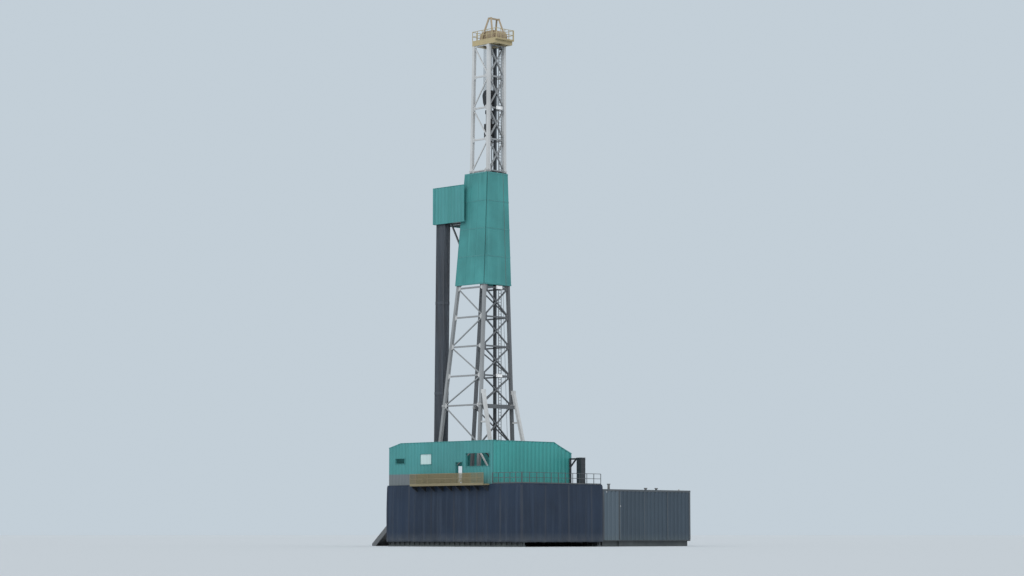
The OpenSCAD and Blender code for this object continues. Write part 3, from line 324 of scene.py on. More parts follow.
# The mast's lattice is all one white paint; the two darker copies after it paint shade on its lower,
# far and back members.
WHITE = paint("mast_light_paint", (0.58, 0.6, 0.61), (0.3, 0.25, 0.2), (0.45, 0.455, 0.45), 0.48)
MAST_HALF_SHADE = paint("mast_painted_half_shade", (0.29, 0.31, 0.325), (0.2, 0.165, 0.14), (0.23, 0.235, 0.235))
MAST_SHADE = paint("mast_painted_shade", (0.125, 0.136, 0.15), (0.12, 0.1, 0.085), (0.115, 0.12, 0.125))
YELLOW = paint("safety_yellow_paint", (0.48, 0.4, 0.225), (0.28, 0.21, 0.13), (0.36, 0.3, 0.18),
               0.45, spots=0.63)
ORANGE = paint("gin_paint", (0.42, 0.335, 0.225), (0.24, 0.17, 0.11), (0.32, 0.25, 0.16))
STAIR_YELLOW = paint("stair_yellow_paint", (0.58, 0.4, 0.07), (0.25, 0.17, 0.08), (0.4, 0.28, 0.08),
                     0.45)
TAN = paint("porch_paint", (0.23, 0.2, 0.115), (0.2, 0.16, 0.1), (0.25, 0.2, 0.12), 0.55,
            areas=dark_behind_walls)
SLATE = paint("slate_paint", (0.04, 0.064, 0.09), (0.1, 0.12, 0.14), (0.027, 0.044, 0.062),
              spots=0.7, grime=(20, 130), areas=light_end)
ROOF = paint("roof_paint", (0.085, 0.1, 0.115), (0.17, 0.18, 0.185), (0.06, 0.072, 0.083), 0.55,
             spots=0.66)
DARK = paint("dark_steel_paint", (0.028, 0.034, 0.042), (0.09, 0.075, 0.06), (0.045, 0.045, 0.045),
             grime=(0, 100))
DECK = paint("deck_steel", (0.065, 0.07, 0.075), (0.11, 0.09, 0.07), (0.05, 0.05, 0.05), 0.55,
             metal=0.4, spots=0.55)
STEEL = paint("worn_steel", (0.21, 0.215, 0.22), (0.15, 0.11, 0.085), (0.13, 0.12, 0.11), 0.42,
              metal=0.75, spots=0.6)
PIPE = paint("drill_pipe", (0.084, 0.1, 0.122), (0.1, 0.08, 0.07), (0.065, 0.062, 0.066), 0.45,
             metal=0.3)
GEAR = paint("gear_housing_paint", (0.03, 0.03, 0.033), (0.09, 0.07, 0.06), (0.02, 0.02, 0.02),
             0.42, metal=0.2, spots=0.64)
LAMP = paint("lamp_housing_paint", (0.84, 0.86, 0.87), (0.4, 0.4, 0.38), (0.6, 0.62, 0.62), 0.4,
             spots=0.68)
BRIGHT = paint("bright_bolt", (0.3, 0.3, 0.3), (0.16, 0.075, 0.035), (0.2, 0.19, 0.18), 0.4,
               metal=0.8)
# The side window's glass is opaque paint, and its pale colour is a painted reflection in the glass.
PANE_PAINTED_REFLECTION = paint("pane_painted_reflection", (0.55, 0.72, 0.72), (0.4, 0.5, 0.5), (0.42, 0.56, 0.56), 0.2,
             spots=0.75)

# Rope, cloth and glass


def rope_material(name, base):
    """Wire rope: slanting bands for its strands."""
    m, t, co = new_material(name)
    strands = bands(t, co, 180, "DIAGONAL", 0.6)
    col = mix(t, strands, shaded(base, 0.45), base)
    relief = bump(t, strands, 0.5)
    return finished(m, {"Base Color": col, "Roughness": 0.45, "Metallic": 0.7, "Normal": relief})


ROPE = rope_material("wire_rope", (0.16, 0.155, 0.15))

WEAVE = 900
# Stretch of the paler upright streaks that paint the light on a tarpaulin's folds
FOLD_LIGHT_STRETCH = (22, 22, 0.9)
DUST = (0.1, 0.11, 0.12)
DUST_LOW, DUST_HIGH = 30, 140


def threads(t, co, direction):
    """The relief of the threads that lie across one direction of a weave."""
    return times(t, bands(t, co, WEAVE, direction), 0.3)


def fabric_material(name, base, light):
    """Coated tarpaulin: a crossed weave, creases, paler upright runs painted as the light on its
    folds, and dust near the hem.
    """
    m, t, co = new_material(name)
    col = mix(t, rise(t, noise(t, co, 3, 6), 0.35, 0.7), base, shaded(base, 0.7))
    # Painted light: paler upright streaks stand for the light on the folds
    upright_streaks = noise(t, co, 1.0, 5, FOLD_LIGHT_STRETCH)
    col = mix(t, rise(t, upright_streaks, 0.5, 0.74, 0.7), col, light)
    dusty = dirt_share(t, co, DUST_HIGH, DUST_LOW)
    col = mix(t, times(t, dusty, noise(t, co, 14, 6)), col, DUST)
    weave = maths(t, "ADD", threads(t, co, "X"), threads(t, co, "Z"))
    creases = times(t, noise(t, co, 26, 7), 0.9)
    relief = bump(t, maths(t, "ADD", weave, creases), 0.45, 0.0016)
    return finished(m, {"Base Color": col, "Roughness": 0.58, "Sheen Weight": 0.05,
                        "Specular IOR Level": 0.3, "Normal": relief})


# The second colour of each tarpaulin is the painted light on its folds.
TARP = fabric_material("navy_tarpaulin", (0.0148, 0.0295, 0.058), (0.032, 0.051, 0.086))
HEM = fabric_material("tarpaulin_hem", (0.023, 0.034, 0.057), (0.055, 0.068, 0.09))
TEAL_TARP = fabric_material("teal_tarpaulin", (0.062, 0.287, 0.285), (0.09, 0.345, 0.34))


def glass_material():
    """The coated glass of the lamps, a little uneven."""
    m, t, co = new_material("lamp_glass")
    n = noise(t, co, 120, 4)
    col = mix(t, n, (0.85, 0.88, 0.9), (0.95, 0.96, 0.97))
    relief = bump(t, n, 0.2)
    return finished(m, {"Base Color": col, "Roughness": 0.12, "Coat Weight": 0.6, "Normal": relief})


GLASS = glass_material()

NODES_IN = [
    (DARK, "base_beams sub_frames cross_frames handling_frame stair_stringers"),
    (DARK, "travelling_block guide_rail tank_house_base"),
    (DECK, "drill_floor"),
    (STEEL, "rotary_table pipe_ramp stair_treads crown_sheaves racking_board mast_ladder"),
    (STEEL, "tank_house_vents"),
    (TEAL, "windwall_near windwall_far windwall_front"),
    (TEAL_REAR_PAINTED_LIGHT, "windwall_rear"),
    (TEAL_MAST, "drawworks racking_walls"),
    (TEAL_TARP, "wrap_near wrap_far wrap_rear"),
    (TARP, "skirt_near skirt_far skirt_front skirt_rear"),
    (PANE_PAINTED_REFLECTION, "side_window"),
    (TAN, "porch floor_rails"),
    (STAIR_YELLOW, "stair_rails"),
    (YELLOW, "crown_frame crown_rail"),
    (ORANGE, "crown_guard gin_frame"),
    (PIPE, "pipe_stands"),
    (GEAR, "top_drive"),
    (ROPE, "drill_lines hoist_lines"),
    (LAMP, "floodlights"),
    (SLATE, "tank_house_walls"),
    (ROOF, "tank_house_roof"),
    # Painted shade: the mast's members share one paint, and its darker copies go on the lower, far
    # and back lattices.
    (WHITE, "mast_near_upper mast_far_upper a_frame_legs"),
    (MAST_HALF_SHADE, "mast_near_lower mast_near_middle mast_back_upper"),
    (MAST_SHADE, "mast_far_lower mast_far_middle mast_back_lower mast_back_middle a_frame_head"),
]
for material, names in NODES_IN:
    for name in names.split():
        nodes[name].data.materials.clear()
        nodes[name].data.materials.append(material)

# Mesh code


class Build:
    """Collects the parts of one piece, in design millimetres."""

    def __init__(self):
        self.verts, self.faces = [], []

    def add(self, verts, faces):
        n = len(self.verts)
        self.verts += [tuple(p) for p in verts]
        self.faces += [[i + n for i in face] for face in faces]

    def box(self, corner, opposite):
        """An upright box between two opposite corners, in either order."""
        (x0, x1), (y0, y1), (z0, z1) = (sorted(pair) for pair in zip(corner, opposite))
        base = [(x0, y0), (x1, y0), (x1, y1), (x0, y1)]
        sides = [(0, 1, 5, 4), (1, 2, 6, 5), (2, 3, 7, 6), (3, 0, 4, 7)]
        self.add([(x, y, z) for z in (z0, z1) for x, y in base], [(3, 2, 1, 0), (4, 5, 6, 7)] + sides)

    def slab(self, outline, direction):
        """A flat plate: outline is its corners in order, direction its thickness as a vector."""
        d = Vector(direction)
        n = len(outline)
        a = [Vector(p) for p in outline]
        normal = sum((a[i].cross(a[(i + 1) % n]) for i in range(n)), Vector())
        if normal.dot(d) < 0:
            a.reverse()
        ends = [list(range(n))[::-1], list(range(n, 2 * n))]
        sides = [(i, (i + 1) % n, n + (i + 1) % n, n + i) for i in range(n)]
        self.add(a + [p + d for p in a], ends + sides)

    def tube(self, points, r, sides, closed=False):
        """A round tube along points, with flat ends, or a ring where it is closed."""
        pts = [Vector(p) for p in points]
        n = len(pts)
        verts = []
        for i, p in enumerate(pts):
            before = pts[(i - 1) % n] if closed or i else p
            after = pts[(i + 1) % n] if closed or i < n - 1 else p
            d = (after - before).normalized()
            u = d.orthogonal().normalized() if i == 0 else (u - d * u.dot(d)).normalized()
            w = d.cross(u)
            verts += [p + u * c + w * s for c, s in circle(r, sides)]
        faces = []
        for i in range(n if closed else n - 1):
            a, b = i * sides, ((i + 1) % n) * sides
            for k in range(sides):
                k1 = (k + 1) % sides
                faces.append((a + k, a + k1, b + k1, b + k))
        if not closed:
            faces += [list(range(sides))[::-1], list(range((n - 1) * sides, n * sides))]
        self.add(verts, faces)

    def bolt(self, place, normal, r, h):
        """A hexagon head with a chamfered top."""
        d = Vector(normal).normalized()
        u = d.orthogonal().normalized()
        w = d.cross(u)
        verts = []
        for ring_r, ring_h in ((r, 0), (r, h * 0.7), (r * 0.8, h)):
            verts += [Vector(place) + u * c + w * s + d * ring_h for c, s in circle(ring_r, 6)]
        faces = []
        for a in (0, 6):
            faces += [(a + k, a + (k + 1) % 6, a + 6 + (k + 1) % 6, a + 6 + k) for k in range(6)]
        self.add(verts, faces + [list(range(12, 18))])

    def make(self, name, material, slot, body="rig", bevel=0.0, smooth=False):
        """Turns the parts into one object on a body; bevel is the width of its edges."""
        mesh = bpy.data.meshes.new(name)
        mesh.from_pydata([at(*p) for p in self.verts], [], self.faces)
        mesh.validate()
        mesh.materials.append(material)
        o = bpy.data.objects.new(name, mesh)
        scene.collection.objects.link(o)
        for face in mesh.polygons:
            face.use_smooth = smooth
        if bevel:
            b = o.modifiers.new("edges", "BEVEL")
            b.width = bevel / 1000
            b.segments = 1
            b.limit_method = "ANGLE"
        if body:
            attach(o, body)
        return o


# Tarpaulins: u runs along a sheet and d away from the frame behind it

HEM_Z, TOP_Z = box_of("skirt_near").z0, FLOOR_Z - 0.5
LACE_PITCH, PANEL_W = 65.0, 325.0
FOLD_PITCH, SMALL_FOLD_PITCH, SLIP_PITCH, HEM_PITCH = 105, 46, 400, 210
FOLD_WAVES, WAVE_PHASE = 5, 6.28
SHEET_STEP, SHEET_ROWS, HEM_ROWS, SHEET_T = 7.0, 26, 4, 0.8

Skirt = namedtuple("Skirt", "name node length place seed depth cuts")
LONG, SHORT = REAR - FRONT, 2 * HALF
CUT_Z = FLOOR_Z - 62
STAIR_U, STAIR_CUT, RAMP_CUT = HALF - (stair.y0 + stair.y1) / 2, STAIR_W / 2 + 10, RAMP_W / 2 + 6
near_skirt = Skirt("skirt_near_cloth", "skirt_near", LONG,
                   lambda u, d, z: (FRONT + u, -HALF - FIT - d, z), 11, 22.0, ())
far_skirt = Skirt("skirt_far_cloth", "skirt_far", LONG,
                  lambda u, d, z: (REAR - u, HALF + FIT + d, z), 12, 10.4, ())
rear_skirt = Skirt("skirt_rear_cloth", "skirt_rear", SHORT,
                   lambda u, d, z: (REAR + FIT + d, -HALF + u, z), 13, 19.0, ())
front_skirt = Skirt("skirt_front_cloth", "skirt_front", SHORT,
                    lambda u, d, z: (FRONT - FIT - d, HALF - u, z), 14, 20.0,
                    ((STAIR_U - STAIR_CUT, STAIR_U + STAIR_CUT, CUT_Z),
                     (HALF - RAMP_CUT, HALF + RAMP_CUT, CUT_Z)))
SKIRTS = (near_skirt, far_skirt, rear_skirt, front_skirt)
GOING_ROUND = (near_skirt, rear_skirt, far_skirt, front_skirt)


def fold(u, seed, pitch):
    """How far a hung sheet stands out at u, from 0 to 1: waves laid over each other."""
    draw = random.Random(seed).random
    height, total = 0.0, 0.0
    for k in range(FOLD_WAVES):
        size = (0.5 + 0.5 * draw()) / (1 + 0.35 * k)
        height += size * sin(2 * pi * u / (pitch * (0.62 + 0.5 * k)) + draw() * WAVE_PHASE)
        total += size
    return 0.5 + 0.5 * height / total


def fallen(z):
    """The share of a sheet's height that is above z."""
    return (TOP_Z - z) / (TOP_Z - HEM_Z)


def stand_out(skirt, u, z):
    """Distance of the cloth from the frame: flat at the top, hung in folds, drawn in at the seams."""
    share = fallen(z)
    lace = abs(sin(pi * u / LACE_PITCH)) * (1 - share) ** 6
    across = sin(pi * u / PANEL_W) ** 2
    # Folds slip sideways a little as they fall, and the sheet bellies between its seams
    slip = 22 * share * fold(u, skirt.seed + 5, SLIP_PITCH)
    large = fold(u + slip, skirt.seed, FOLD_PITCH) ** 1.4
    small = fold(u - 14 * share, skirt.seed + 9, SMALL_FOLD_PITCH)
    hang = (0.3 + 0.7 * across) * (0.25 + 0.75 * share ** 0.8) * (0.74 * large + 0.18 * small)
    belly = 0.25 * across * sin(pi * min(1, share * 1.15))
    return max(0.9, min(skirt.depth, 1.2 + skirt.depth * (hang + belly) - lace))


def on_cloth(skirt, u, z, off=0.0, lift=0.0):
    """The point of a skirt at u and z, off outside its cloth and raised by lift."""
    return skirt.place(u, stand_out(skirt, u, z) + off, z + lift)


def hem_lift(skirt, u, z):
    """How far the uneven hem is drawn up or down at u, fading out above it."""
    return 24.0 * (fold(u, skirt.seed + 3, HEM_PITCH) - 0.5) * max(0.0, fallen(z) - 0.75)


def near_cut(skirt, u, gap):
    return any(a - gap < u < b + gap for a, b, _ in skirt.cuts)


def hung_sheet(skirt):
    """A tarpaulin laced along its top edge, with folds that grow towards its hem."""
    us = [i * SHEET_STEP for i in range(int(skirt.length / SHEET_STEP) + 1)] + [skirt.length]
    zs = [HEM_Z + (TOP_Z - HEM_Z) * j / SHEET_ROWS for j in range(SHEET_ROWS + 1)]
    for a, b, z in skirt.cuts:
        us += [a, b]
        zs.append(z)
    us, zs = sorted(set(us)), sorted(set(zs))
    n = len(zs)
    verts, faces = [], []
    for u in us:
        for j, z in enumerate(zs):
            lift = hem_lift(skirt, u, z) if j < HEM_ROWS else 0.0
            verts.append(on_cloth(skirt, u, z, lift=lift))
    for i in range(len(us) - 1):
        for j in range(n - 1):
            u, z = (us[i] + us[i + 1]) / 2, (zs[j] + zs[j + 1]) / 2
            if not any(a < u < b and z > top for a, b, top in skirt.cuts):
                k = i * n + j
                faces.append((k, k + n, k + n + 1, k + 1))
    sheet = Build()
    sheet.add(verts, faces)
    o = sheet.make(skirt.name, TARP, "skirt", smooth=True)
    cloth = o.modifiers.new("cloth", "SOLIDIFY")
    cloth.thickness = SHEET_T / 1000
    cloth.offset = 0
    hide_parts(skirt.node)


# Trim of the tarpaulins: seams, eyelets, lacing and corners

STRIP_TOP, STRIP_LOW, STRIP_ROWS = FLOOR_Z - 14, HEM_Z + 6, 24
STRIP_ZS = [STRIP_TOP - (STRIP_TOP - STRIP_LOW) * j / STRIP_ROWS for j in range(STRIP_ROWS + 1)]
EYELET_Z, LACE_Z = FLOOR_Z - 10, FLOOR_Z - 3
SEAM_W, CORNER_W = 22, 28


def strip(build, rows):
    """A flat strip down a sheet: a row is three points across it, each given inside and outside."""
    faces = []
    for j in range(len(rows) - 1):
        r0, r1 = 6 * j, 6 * (j + 1)
        for m in (0, 2):
            faces.append((r0 + m + 1, r0 + m + 3, r1 + m + 3, r1 + m + 1))
            faces.append((r0 + m, r1 + m, r1 + m + 2, r0 + m + 2))
        faces += [(r0, r0 + 1, r1 + 1, r1), (r0 + 4, r1 + 4, r1 + 5, r0 + 5)]
    last = 6 * (len(rows) - 1)
    faces += [(0, 2, 3, 1), (2, 4, 5, 3)]
    faces += [(last + 1, last + 3, last + 2, last), (last + 3, last + 5, last + 4, last + 2)]
    build.add([p for row in rows for p in row], faces)


def eyelets_and_lace(trim, skirt):
    """A ring in the sheet at every pitch, with the cord from it up and down to the next."""
    last = skirt.length - 3
    for start in steps(0, skirt.length - 20, LACE_PITCH):
        u = min(start + LACE_PITCH / 2, skirt.length - 8)
        if near_cut(skirt, u, 12):
            continue
        off = stand_out(skirt, u, EYELET_Z) + 0.6
        ring = [skirt.place(u + du, off, EYELET_Z + dz) for du, dz in circle(4, 10)]
        trim.tube(ring, 0.9, 6, closed=True)
        top = skirt.place(min(u + 32, last), off + 1.2, LACE_Z)
        end = skirt.place(min(u + 61, last + 1), off, EYELET_Z)
        trim.tube([skirt.place(u, off, EYELET_Z), top, end], 0.8, 6)


def panel_seams(trim, skirt):
    """The lapped edges between the panels, which follow the cloth from top to hem."""
    for k in range(1, int(skirt.length / PANEL_W) + 1):
        u = k * PANEL_W
        if u > skirt.length - 12 or near_cut(skirt, u, 30):
            continue
        across = [(du, off) for du in (-SEAM_W / 2, 0, SEAM_W / 2) for off in (0.5, 1.4)]
        strip(trim, [[on_cloth(skirt, u + du, z, off) for du, off in across] for z in STRIP_ZS])


def corner_strip(trim, ending, starting):
    """Closes the slit at a corner, between the sheet that ends there and the one that starts."""
    end, reach = ending.length, CORNER_W / 2
    rows = []
    for z in STRIP_ZS:
        before, middle, after = [], [], []
        c = ending.place(end, -FIT, z)
        for off in (0.6, 1.5):
            a, b = on_cloth(ending, end, z, off), on_cloth(starting, 0, z, off)
            before.append(on_cloth(ending, end - reach, z, off))
            middle.append((a[X] + b[X] - c[X], a[Y] + b[Y] - c[Y], z))
            after.append(on_cloth(starting, reach, z, off))
        rows.append(before + middle + after)
    strip(trim, rows)


def skirt_lacing():
    trim = Build()
    for skirt in SKIRTS:
        eyelets_and_lace(trim, skirt)
        panel_seams(trim, skirt)
    for ending, starting in zip(GOING_ROUND, GOING_ROUND[1:] + GOING_ROUND[:1]):
        corner_strip(trim, ending, starting)
    trim.make("skirt_lacing", HEM, "skirt")


# Mast fittings

GUSSET_OFF, GUSSET_T = 8.3, 3
GUSSET_H, GUSSET_TIP_H, GUSSET_REACH = 60, 24, 30
FLANGE_W, FLANGE_T, FLANGE_BOLT = 42, 6, 18
SHOE_X, SHOE_Y, SHOE_T = 30, 26, 6


def outward(h, side):
    """The direction square to a mast side at height h, away from the mast."""
    if h < KNEE_H:
        slope = (BASE_HALF - KNEE_HALF) / KNEE_H
    else:
        slope = (KNEE_HALF - TOP_HALF) / (MAST_H - KNEE_H)
    return Vector((0, side, slope)).normalized()


def leaning(h, x, off, side):
    """A point on a mast side: height h above the floor, at x, off outside its middle plane."""
    return Vector((x, side * half_at(h), FLOOR_Z + h)) + outward(h, side) * off


def gusset(plates, bolts, h, side, leg_x, inward):
    """A tapered plate where braces meet a leg, with four bolts; inward is its direction in x."""
    low, high = max(6, h - GUSSET_H / 2), min(MAST_H - 4, h + GUSSET_H / 2)
    tip_low, tip_high = max(low, h - GUSSET_TIP_H / 2), min(high, h + GUSSET_TIP_H / 2)
    edge = LEG / 2 + 0.4
    tip_x = leg_x(h) + inward * (edge + GUSSET_REACH)
    corners = [(low, leg_x(low) + inward * edge), (high, leg_x(high) + inward * edge),
               (tip_high, tip_x), (tip_low, tip_x)]
    d = outward(h, side)
    plates.slab([leaning(z, x, GUSSET_OFF, side) for z, x in corners], d * GUSSET_T)
    for dx, dh in ((7, 16), (7, -16), (22, 5), (22, -5)):
        if 8 < h + dh < MAST_H - 8:
            place = leaning(h + dh, leg_x(h) + inward * (edge + dx), GUSSET_OFF + GUSSET_T, side)
            bolts.bolt(place, d, 2.4, 1.8)


def flanges(plates, bolts, h, side, leg_x):
    """The two flanges with bolts where a leg of one mast section stands on the next."""
    x = leg_x(h)
    for dh in (-FLANGE_T - 3, 3):
        c = leaning(h + dh, x, 0, side)
        plates.box((c.x - FLANGE_W / 2, c.y - FLANGE_W / 2, c.z),
                   (c.x + FLANGE_W / 2, c.y + FLANGE_W / 2, c.z + FLANGE_T))
    c = leaning(h + 3 + FLANGE_T, x, 0, side)
    for dx in (-FLANGE_BOLT, FLANGE_BOLT):
        for dy in (-FLANGE_BOLT, FLANGE_BOLT):
            bolts.bolt((c.x + dx, c.y + dy, c.z), UP, 2.6, 2.4)


def shoe(plates, bolts, x, y):
    """The foot plate of a leg on the floor, with a bolt near each corner."""
    z = FLOOR_Z + 0.4
    plates.box((x - SHOE_X, y - SHOE_Y, z), (x + SHOE_X, y + SHOE_Y, z + SHOE_T))
    for dx, dy in ((-24, -20), (24, -20), (-24, 20), (24, 20)):
        bolts.bolt((x + dx, y + dy, z + SHOE_T), UP, 3, 2.4)


def mast_plates_and_bolts():
    plates, bolts = Build(), Build()
    for side in SIDES:
        for h in LEVELS:
            gusset(plates, bolts, h, side, front_leg, 1)
            gusset(plates, bolts, h, side, back_leg, -1)
        for h in (SPLICE_H, KNEE_H):
            flanges(plates, bolts, h, side, front_leg)
            flanges(plates, bolts, h, side, back_leg)
        for x in (front_leg(0), MAST_BACK, A_FRAME_FOOT):
            shoe(plates, bolts, x, side * BASE_HALF)
    plates.make("mast_plates", WHITE, "mast_white", bevel=0.5)
    bolts.make("mast_bolts", BRIGHT, "steel")


# Wraps of the racking board: level battens with eyelets, and upright seams

WRAP_LOW, WRAP_HIGH = wrap.z0 - FLOOR_Z, wrap.z1 - FLOOR_Z
WRAP_FRONT_LOW, WRAP_FRONT = 20, 70
WRAP_FACE = LEG / 2 + 8 + 7.2
BATTENS, BATTEN_W, BATTEN_T, BATTEN_PITCH = 5, 10, 1.4, 28
SEAM_SHARES = (0.0, 0.33, 0.66, 1.0)
BATTEN_HS = [WRAP_LOW + 10 + i * (WRAP_HIGH - WRAP_LOW - 20) / (BATTENS - 1) for i in range(BATTENS)]


def wrap_edge(h):
    """The front edge of a side wrap at height h."""
    share = (h - WRAP_LOW) / (WRAP_HIGH - WRAP_LOW)
    return front_leg(h) - WRAP_FRONT_LOW - (WRAP_FRONT - WRAP_FRONT_LOW) * share


def batten(seams, eyelets, place, h, ends, out):
    """A level batten at height h with eyelets; place(h, u) is a point on the wrap's face."""
    a, b = ends
    low, high = h - BATTEN_W / 2, h + BATTEN_W / 2
    seams.slab([place(low, a), place(low, b), place(high, b), place(high, a)], out * BATTEN_T)
    n = int((b - a) / BATTEN_PITCH)
    for k in range(n + 1):
        u = a + 4 + k * (b - a - 8) / n
        eyelets.bolt(place(h, u) + out * BATTEN_T, out, 2.0, 1.2)


def upright_seam(seams, share, side):
    """A seam up a side wrap, at a share of its width from its front edge."""
    outline = []
    for h, edges in ((WRAP_LOW + 4, (-3, 3)), (WRAP_HIGH - 4, (3, -3))):
        x = (wrap_edge(h) + 4) * (1 - share) + (MAST_BACK + 11) * share
        outline += [leaning(h, x + dx, WRAP_FACE, side) for dx in edges]
    seams.slab(outline, outward(WRAP_LOW, side) * 1.2)


def wrap_seams_and_eyelets():
    seams, eyelets = Build(), Build()
    for side in SIDES:
        for h in BATTEN_HS:
            batten(seams, eyelets, lambda z, x: leaning(z, x, WRAP_FACE, side), h,
                   (wrap_edge(h) + 2, MAST_BACK + 13), outward(h, side))
        for share in SEAM_SHARES:
            upright_seam(seams, share, side)
    rear_x = wrap.x1 + 0.2
    for h in BATTEN_HS:
        half = half_at(h) + LEG / 2 + 10
        batten(seams, eyelets, lambda z, y: Vector((rear_x, y, FLOOR_Z + z)), h, (-half, half),
               Vector((1, 0, 0)))
    seams.make("wrap_seams", TEAL_MAST, "teal")
    eyelets.make("wrap_eyelets", BRIGHT, "steel")


# Caps of the wind walls and of the walls round the racking board

WALL_REAR, WALL_TOP = near_wall.x1 + FIT, near_wall.z1 + FIT
WALL_HALF = -(near_wall.y0 + near_wall.y1) / 2
FRONT_CUT_W, FRONT_CUT_H, REAR_CUT_W, REAR_CUT_H = 180, 45, 230, 105
CAP_H, CAP_IN, CAP_OUT = 5, 12, 12.5
BOARD_CAP_W, BOARD_CAP_H, BOARD_CAP_REAR, BOARD_STRIP_H = 22, 4, -160, 370


def sloping_cap(caps, start, end, across):
    """A cap on the sloping edge of a wall, from start to end."""
    raised = [(x, y, z + CAP_H) for x, y, z in (end, start)]
    caps.slab([start, end] + raised, across)


def wind_wall_caps(caps):
    """Near and front wall slope down to the corner that they share, far and rear wall to theirs."""
    x0, x1, z = near_wall.x0, WALL_REAR, WALL_TOP
    inner, outer = WALL_HALF - CAP_IN, WALL_HALF + CAP_OUT
    width = CAP_IN + CAP_OUT
    low_front, low_rear = z - FRONT_CUT_H, z - REAR_CUT_H
    caps.box((x0 + FRONT_CUT_W, -outer, z), (x1 + 1, -inner, z + CAP_H))
    caps.box((x0 - 1, inner, z), (x1 - REAR_CUT_W, outer, z + CAP_H))
    sloping_cap(caps, (x0, -outer, low_front), (x0 + FRONT_CUT_W, -outer, z), (0, width, 0))
    sloping_cap(caps, (x1 - REAR_CUT_W, inner, z), (x1, inner, low_rear), (0, width, 0))
    caps.box((x0 - 1, -inner + FRONT_CUT_W, z), (x0 + 24, inner - 1, z + CAP_H))
    sloping_cap(caps, (x0 - 1, -inner, low_front), (x0 - 1, -inner + FRONT_CUT_W, z), (25, 0, 0))
    caps.box((x1 - 24, 1 - inner, z), (x1 + 1, inner - REAR_CUT_W, z + CAP_H))
    sloping_cap(caps, (x1 - 24, inner - REAR_CUT_W, z), (x1 - 24, inner, low_rear), (25, 0, 0))


def board_caps(caps):
    """Caps on the three walls of the racking board, and angle strips at their corners."""
    x0, z = board_walls.x0 - 1.6, board_walls.z1
    outer = board_walls.y1 + 2.6
    inner = outer - BOARD_CAP_W
    for s in SIDES:
        caps.box((x0, s * inner, z), (BOARD_CAP_REAR, s * outer, z + BOARD_CAP_H))
    caps.box((x0, -inner, z), (x0 + BOARD_CAP_W, inner, z + BOARD_CAP_H))
    low = z - BOARD_STRIP_H
    for s in SIDES:
        caps.box((x0, s * (outer - 1.8), low), (x0 + 29, s * (outer - 0.4), z))
        caps.box((x0 - 0.4, s * (outer - 28), low), (x0 + 1, s * (outer - 0.4), z))


def wall_caps():
    caps = Build()
    wind_wall_caps(caps)
    board_caps(caps)
    caps.make("wall_caps", TEAL_MAST, "teal", bevel=0.8)


# Hoisting gear

ROPE_STEPS = 40
DRIVE_Z = BLOCK_Z - 190
DRIVE_FINS, FIN_PITCH, FIN_H, FIN_REACH = 11, 14, 5, 3.5
CHEEK_Y = SHEAVES * SHEAVE_PITCH / 2 + 9
CHEEK_BOLT_R = 48
WINDING_R, WINDING_HALF, WINDING_PITCH = 49.9, 56, 3.7


def sheave_y(i):
    return (i - (SHEAVES - 1) / 2) * SHEAVE_PITCH


def line_ends():
    """The x of each strand and its y at the block and at the crown, half a sheave pitch aside."""
    ends = [(LINE_R, sheave_y(0), sheave_y(0) - SHEAVE_PITCH / 2)]
    for i in range(SHEAVES):
        crown_y = sheave_y(i) + SHEAVE_PITCH / 2
        ends.append((-LINE_R, sheave_y(i), crown_y))
        if i < SHEAVES - 1:
            ends.append((LINE_R, sheave_y(i + 1), crown_y))
    return ends


def drill_line_parts():
    """The strands between block and crown, each in short steps."""
    lines = Build()
    for x, y0, y1 in line_ends():
        block, crown_end = Vector((x, y0, BLOCK_Z)), Vector((x, y1, CROWN_AXLE_Z))
        points = [block.lerp(crown_end, k / ROPE_STEPS) for k in range(ROPE_STEPS + 1)]
        lines.tube(points, LINE_D / 2, 10)
    o = lines.make("drill_line_parts", ROPE, "steel", body=None, smooth=True)
    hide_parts("drill_lines")
    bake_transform(o)


def drum_rope():
    """The turns of rope on the drawworks' drum."""
    rope = Build()
    for y in steps(-WINDING_HALF, WINDING_HALF, WINDING_PITCH):
        turn = [(DRUM_X + dx, y + 1.9 * k / ROPE_STEPS, DRUM_Z + dz)
                for k, (dx, dz) in enumerate(circle(WINDING_R, ROPE_STEPS))]
        rope.tube(turn, 1.8, 6, closed=True)
    rope.make("drum_rope", ROPE, "steel", smooth=True)


def gear_fittings():
    """The cooling fins of the top drive's motor, and the bolts of the block's cheeks."""
    gear = Build()
    for s in SIDES:
        for k in range(DRIVE_FINS):
            z = DRIVE_Z - 110 - k * FIN_PITCH
            gear.box((s * 35, -30, z), (s * (35 + FIN_REACH), 30, z + FIN_H))
            gear.box((-24, s * 42, z), (24, s * (42 + FIN_REACH), z + FIN_H))
    for s in SIDES:
        y, out = s * CHEEK_Y, (0, s, 0)
        for dx, dz in circle(CHEEK_BOLT_R, 8):
            gear.bolt((dx, y, BLOCK_Z + dz), out, 3, 2.4)
        gear.bolt((0, y + s * 4, BLOCK_Z), out, 8, 3)
        for dz in (-75, -98):
            for dx in (-20, 20):
                gear.bolt((dx, y, BLOCK_Z + dz), out, 2.6, 2)
    gear.make("gear_fittings", STEEL, "dark_steel", body="travelling_gear", bevel=0.4)


# Crown and lamps

SHEAVE_GAP_HALF, BAR_PITCH = 71, 29
LAMP_X, LAMP_Y, LAMP_HALF_W, LAMP_HALF_H = MAST_BACK + GIRT / 2 + FIT + 25, 15, 33, 13
LAMP_HS = (MIDDLE[0], MIDDLE[3], UPPER[1])


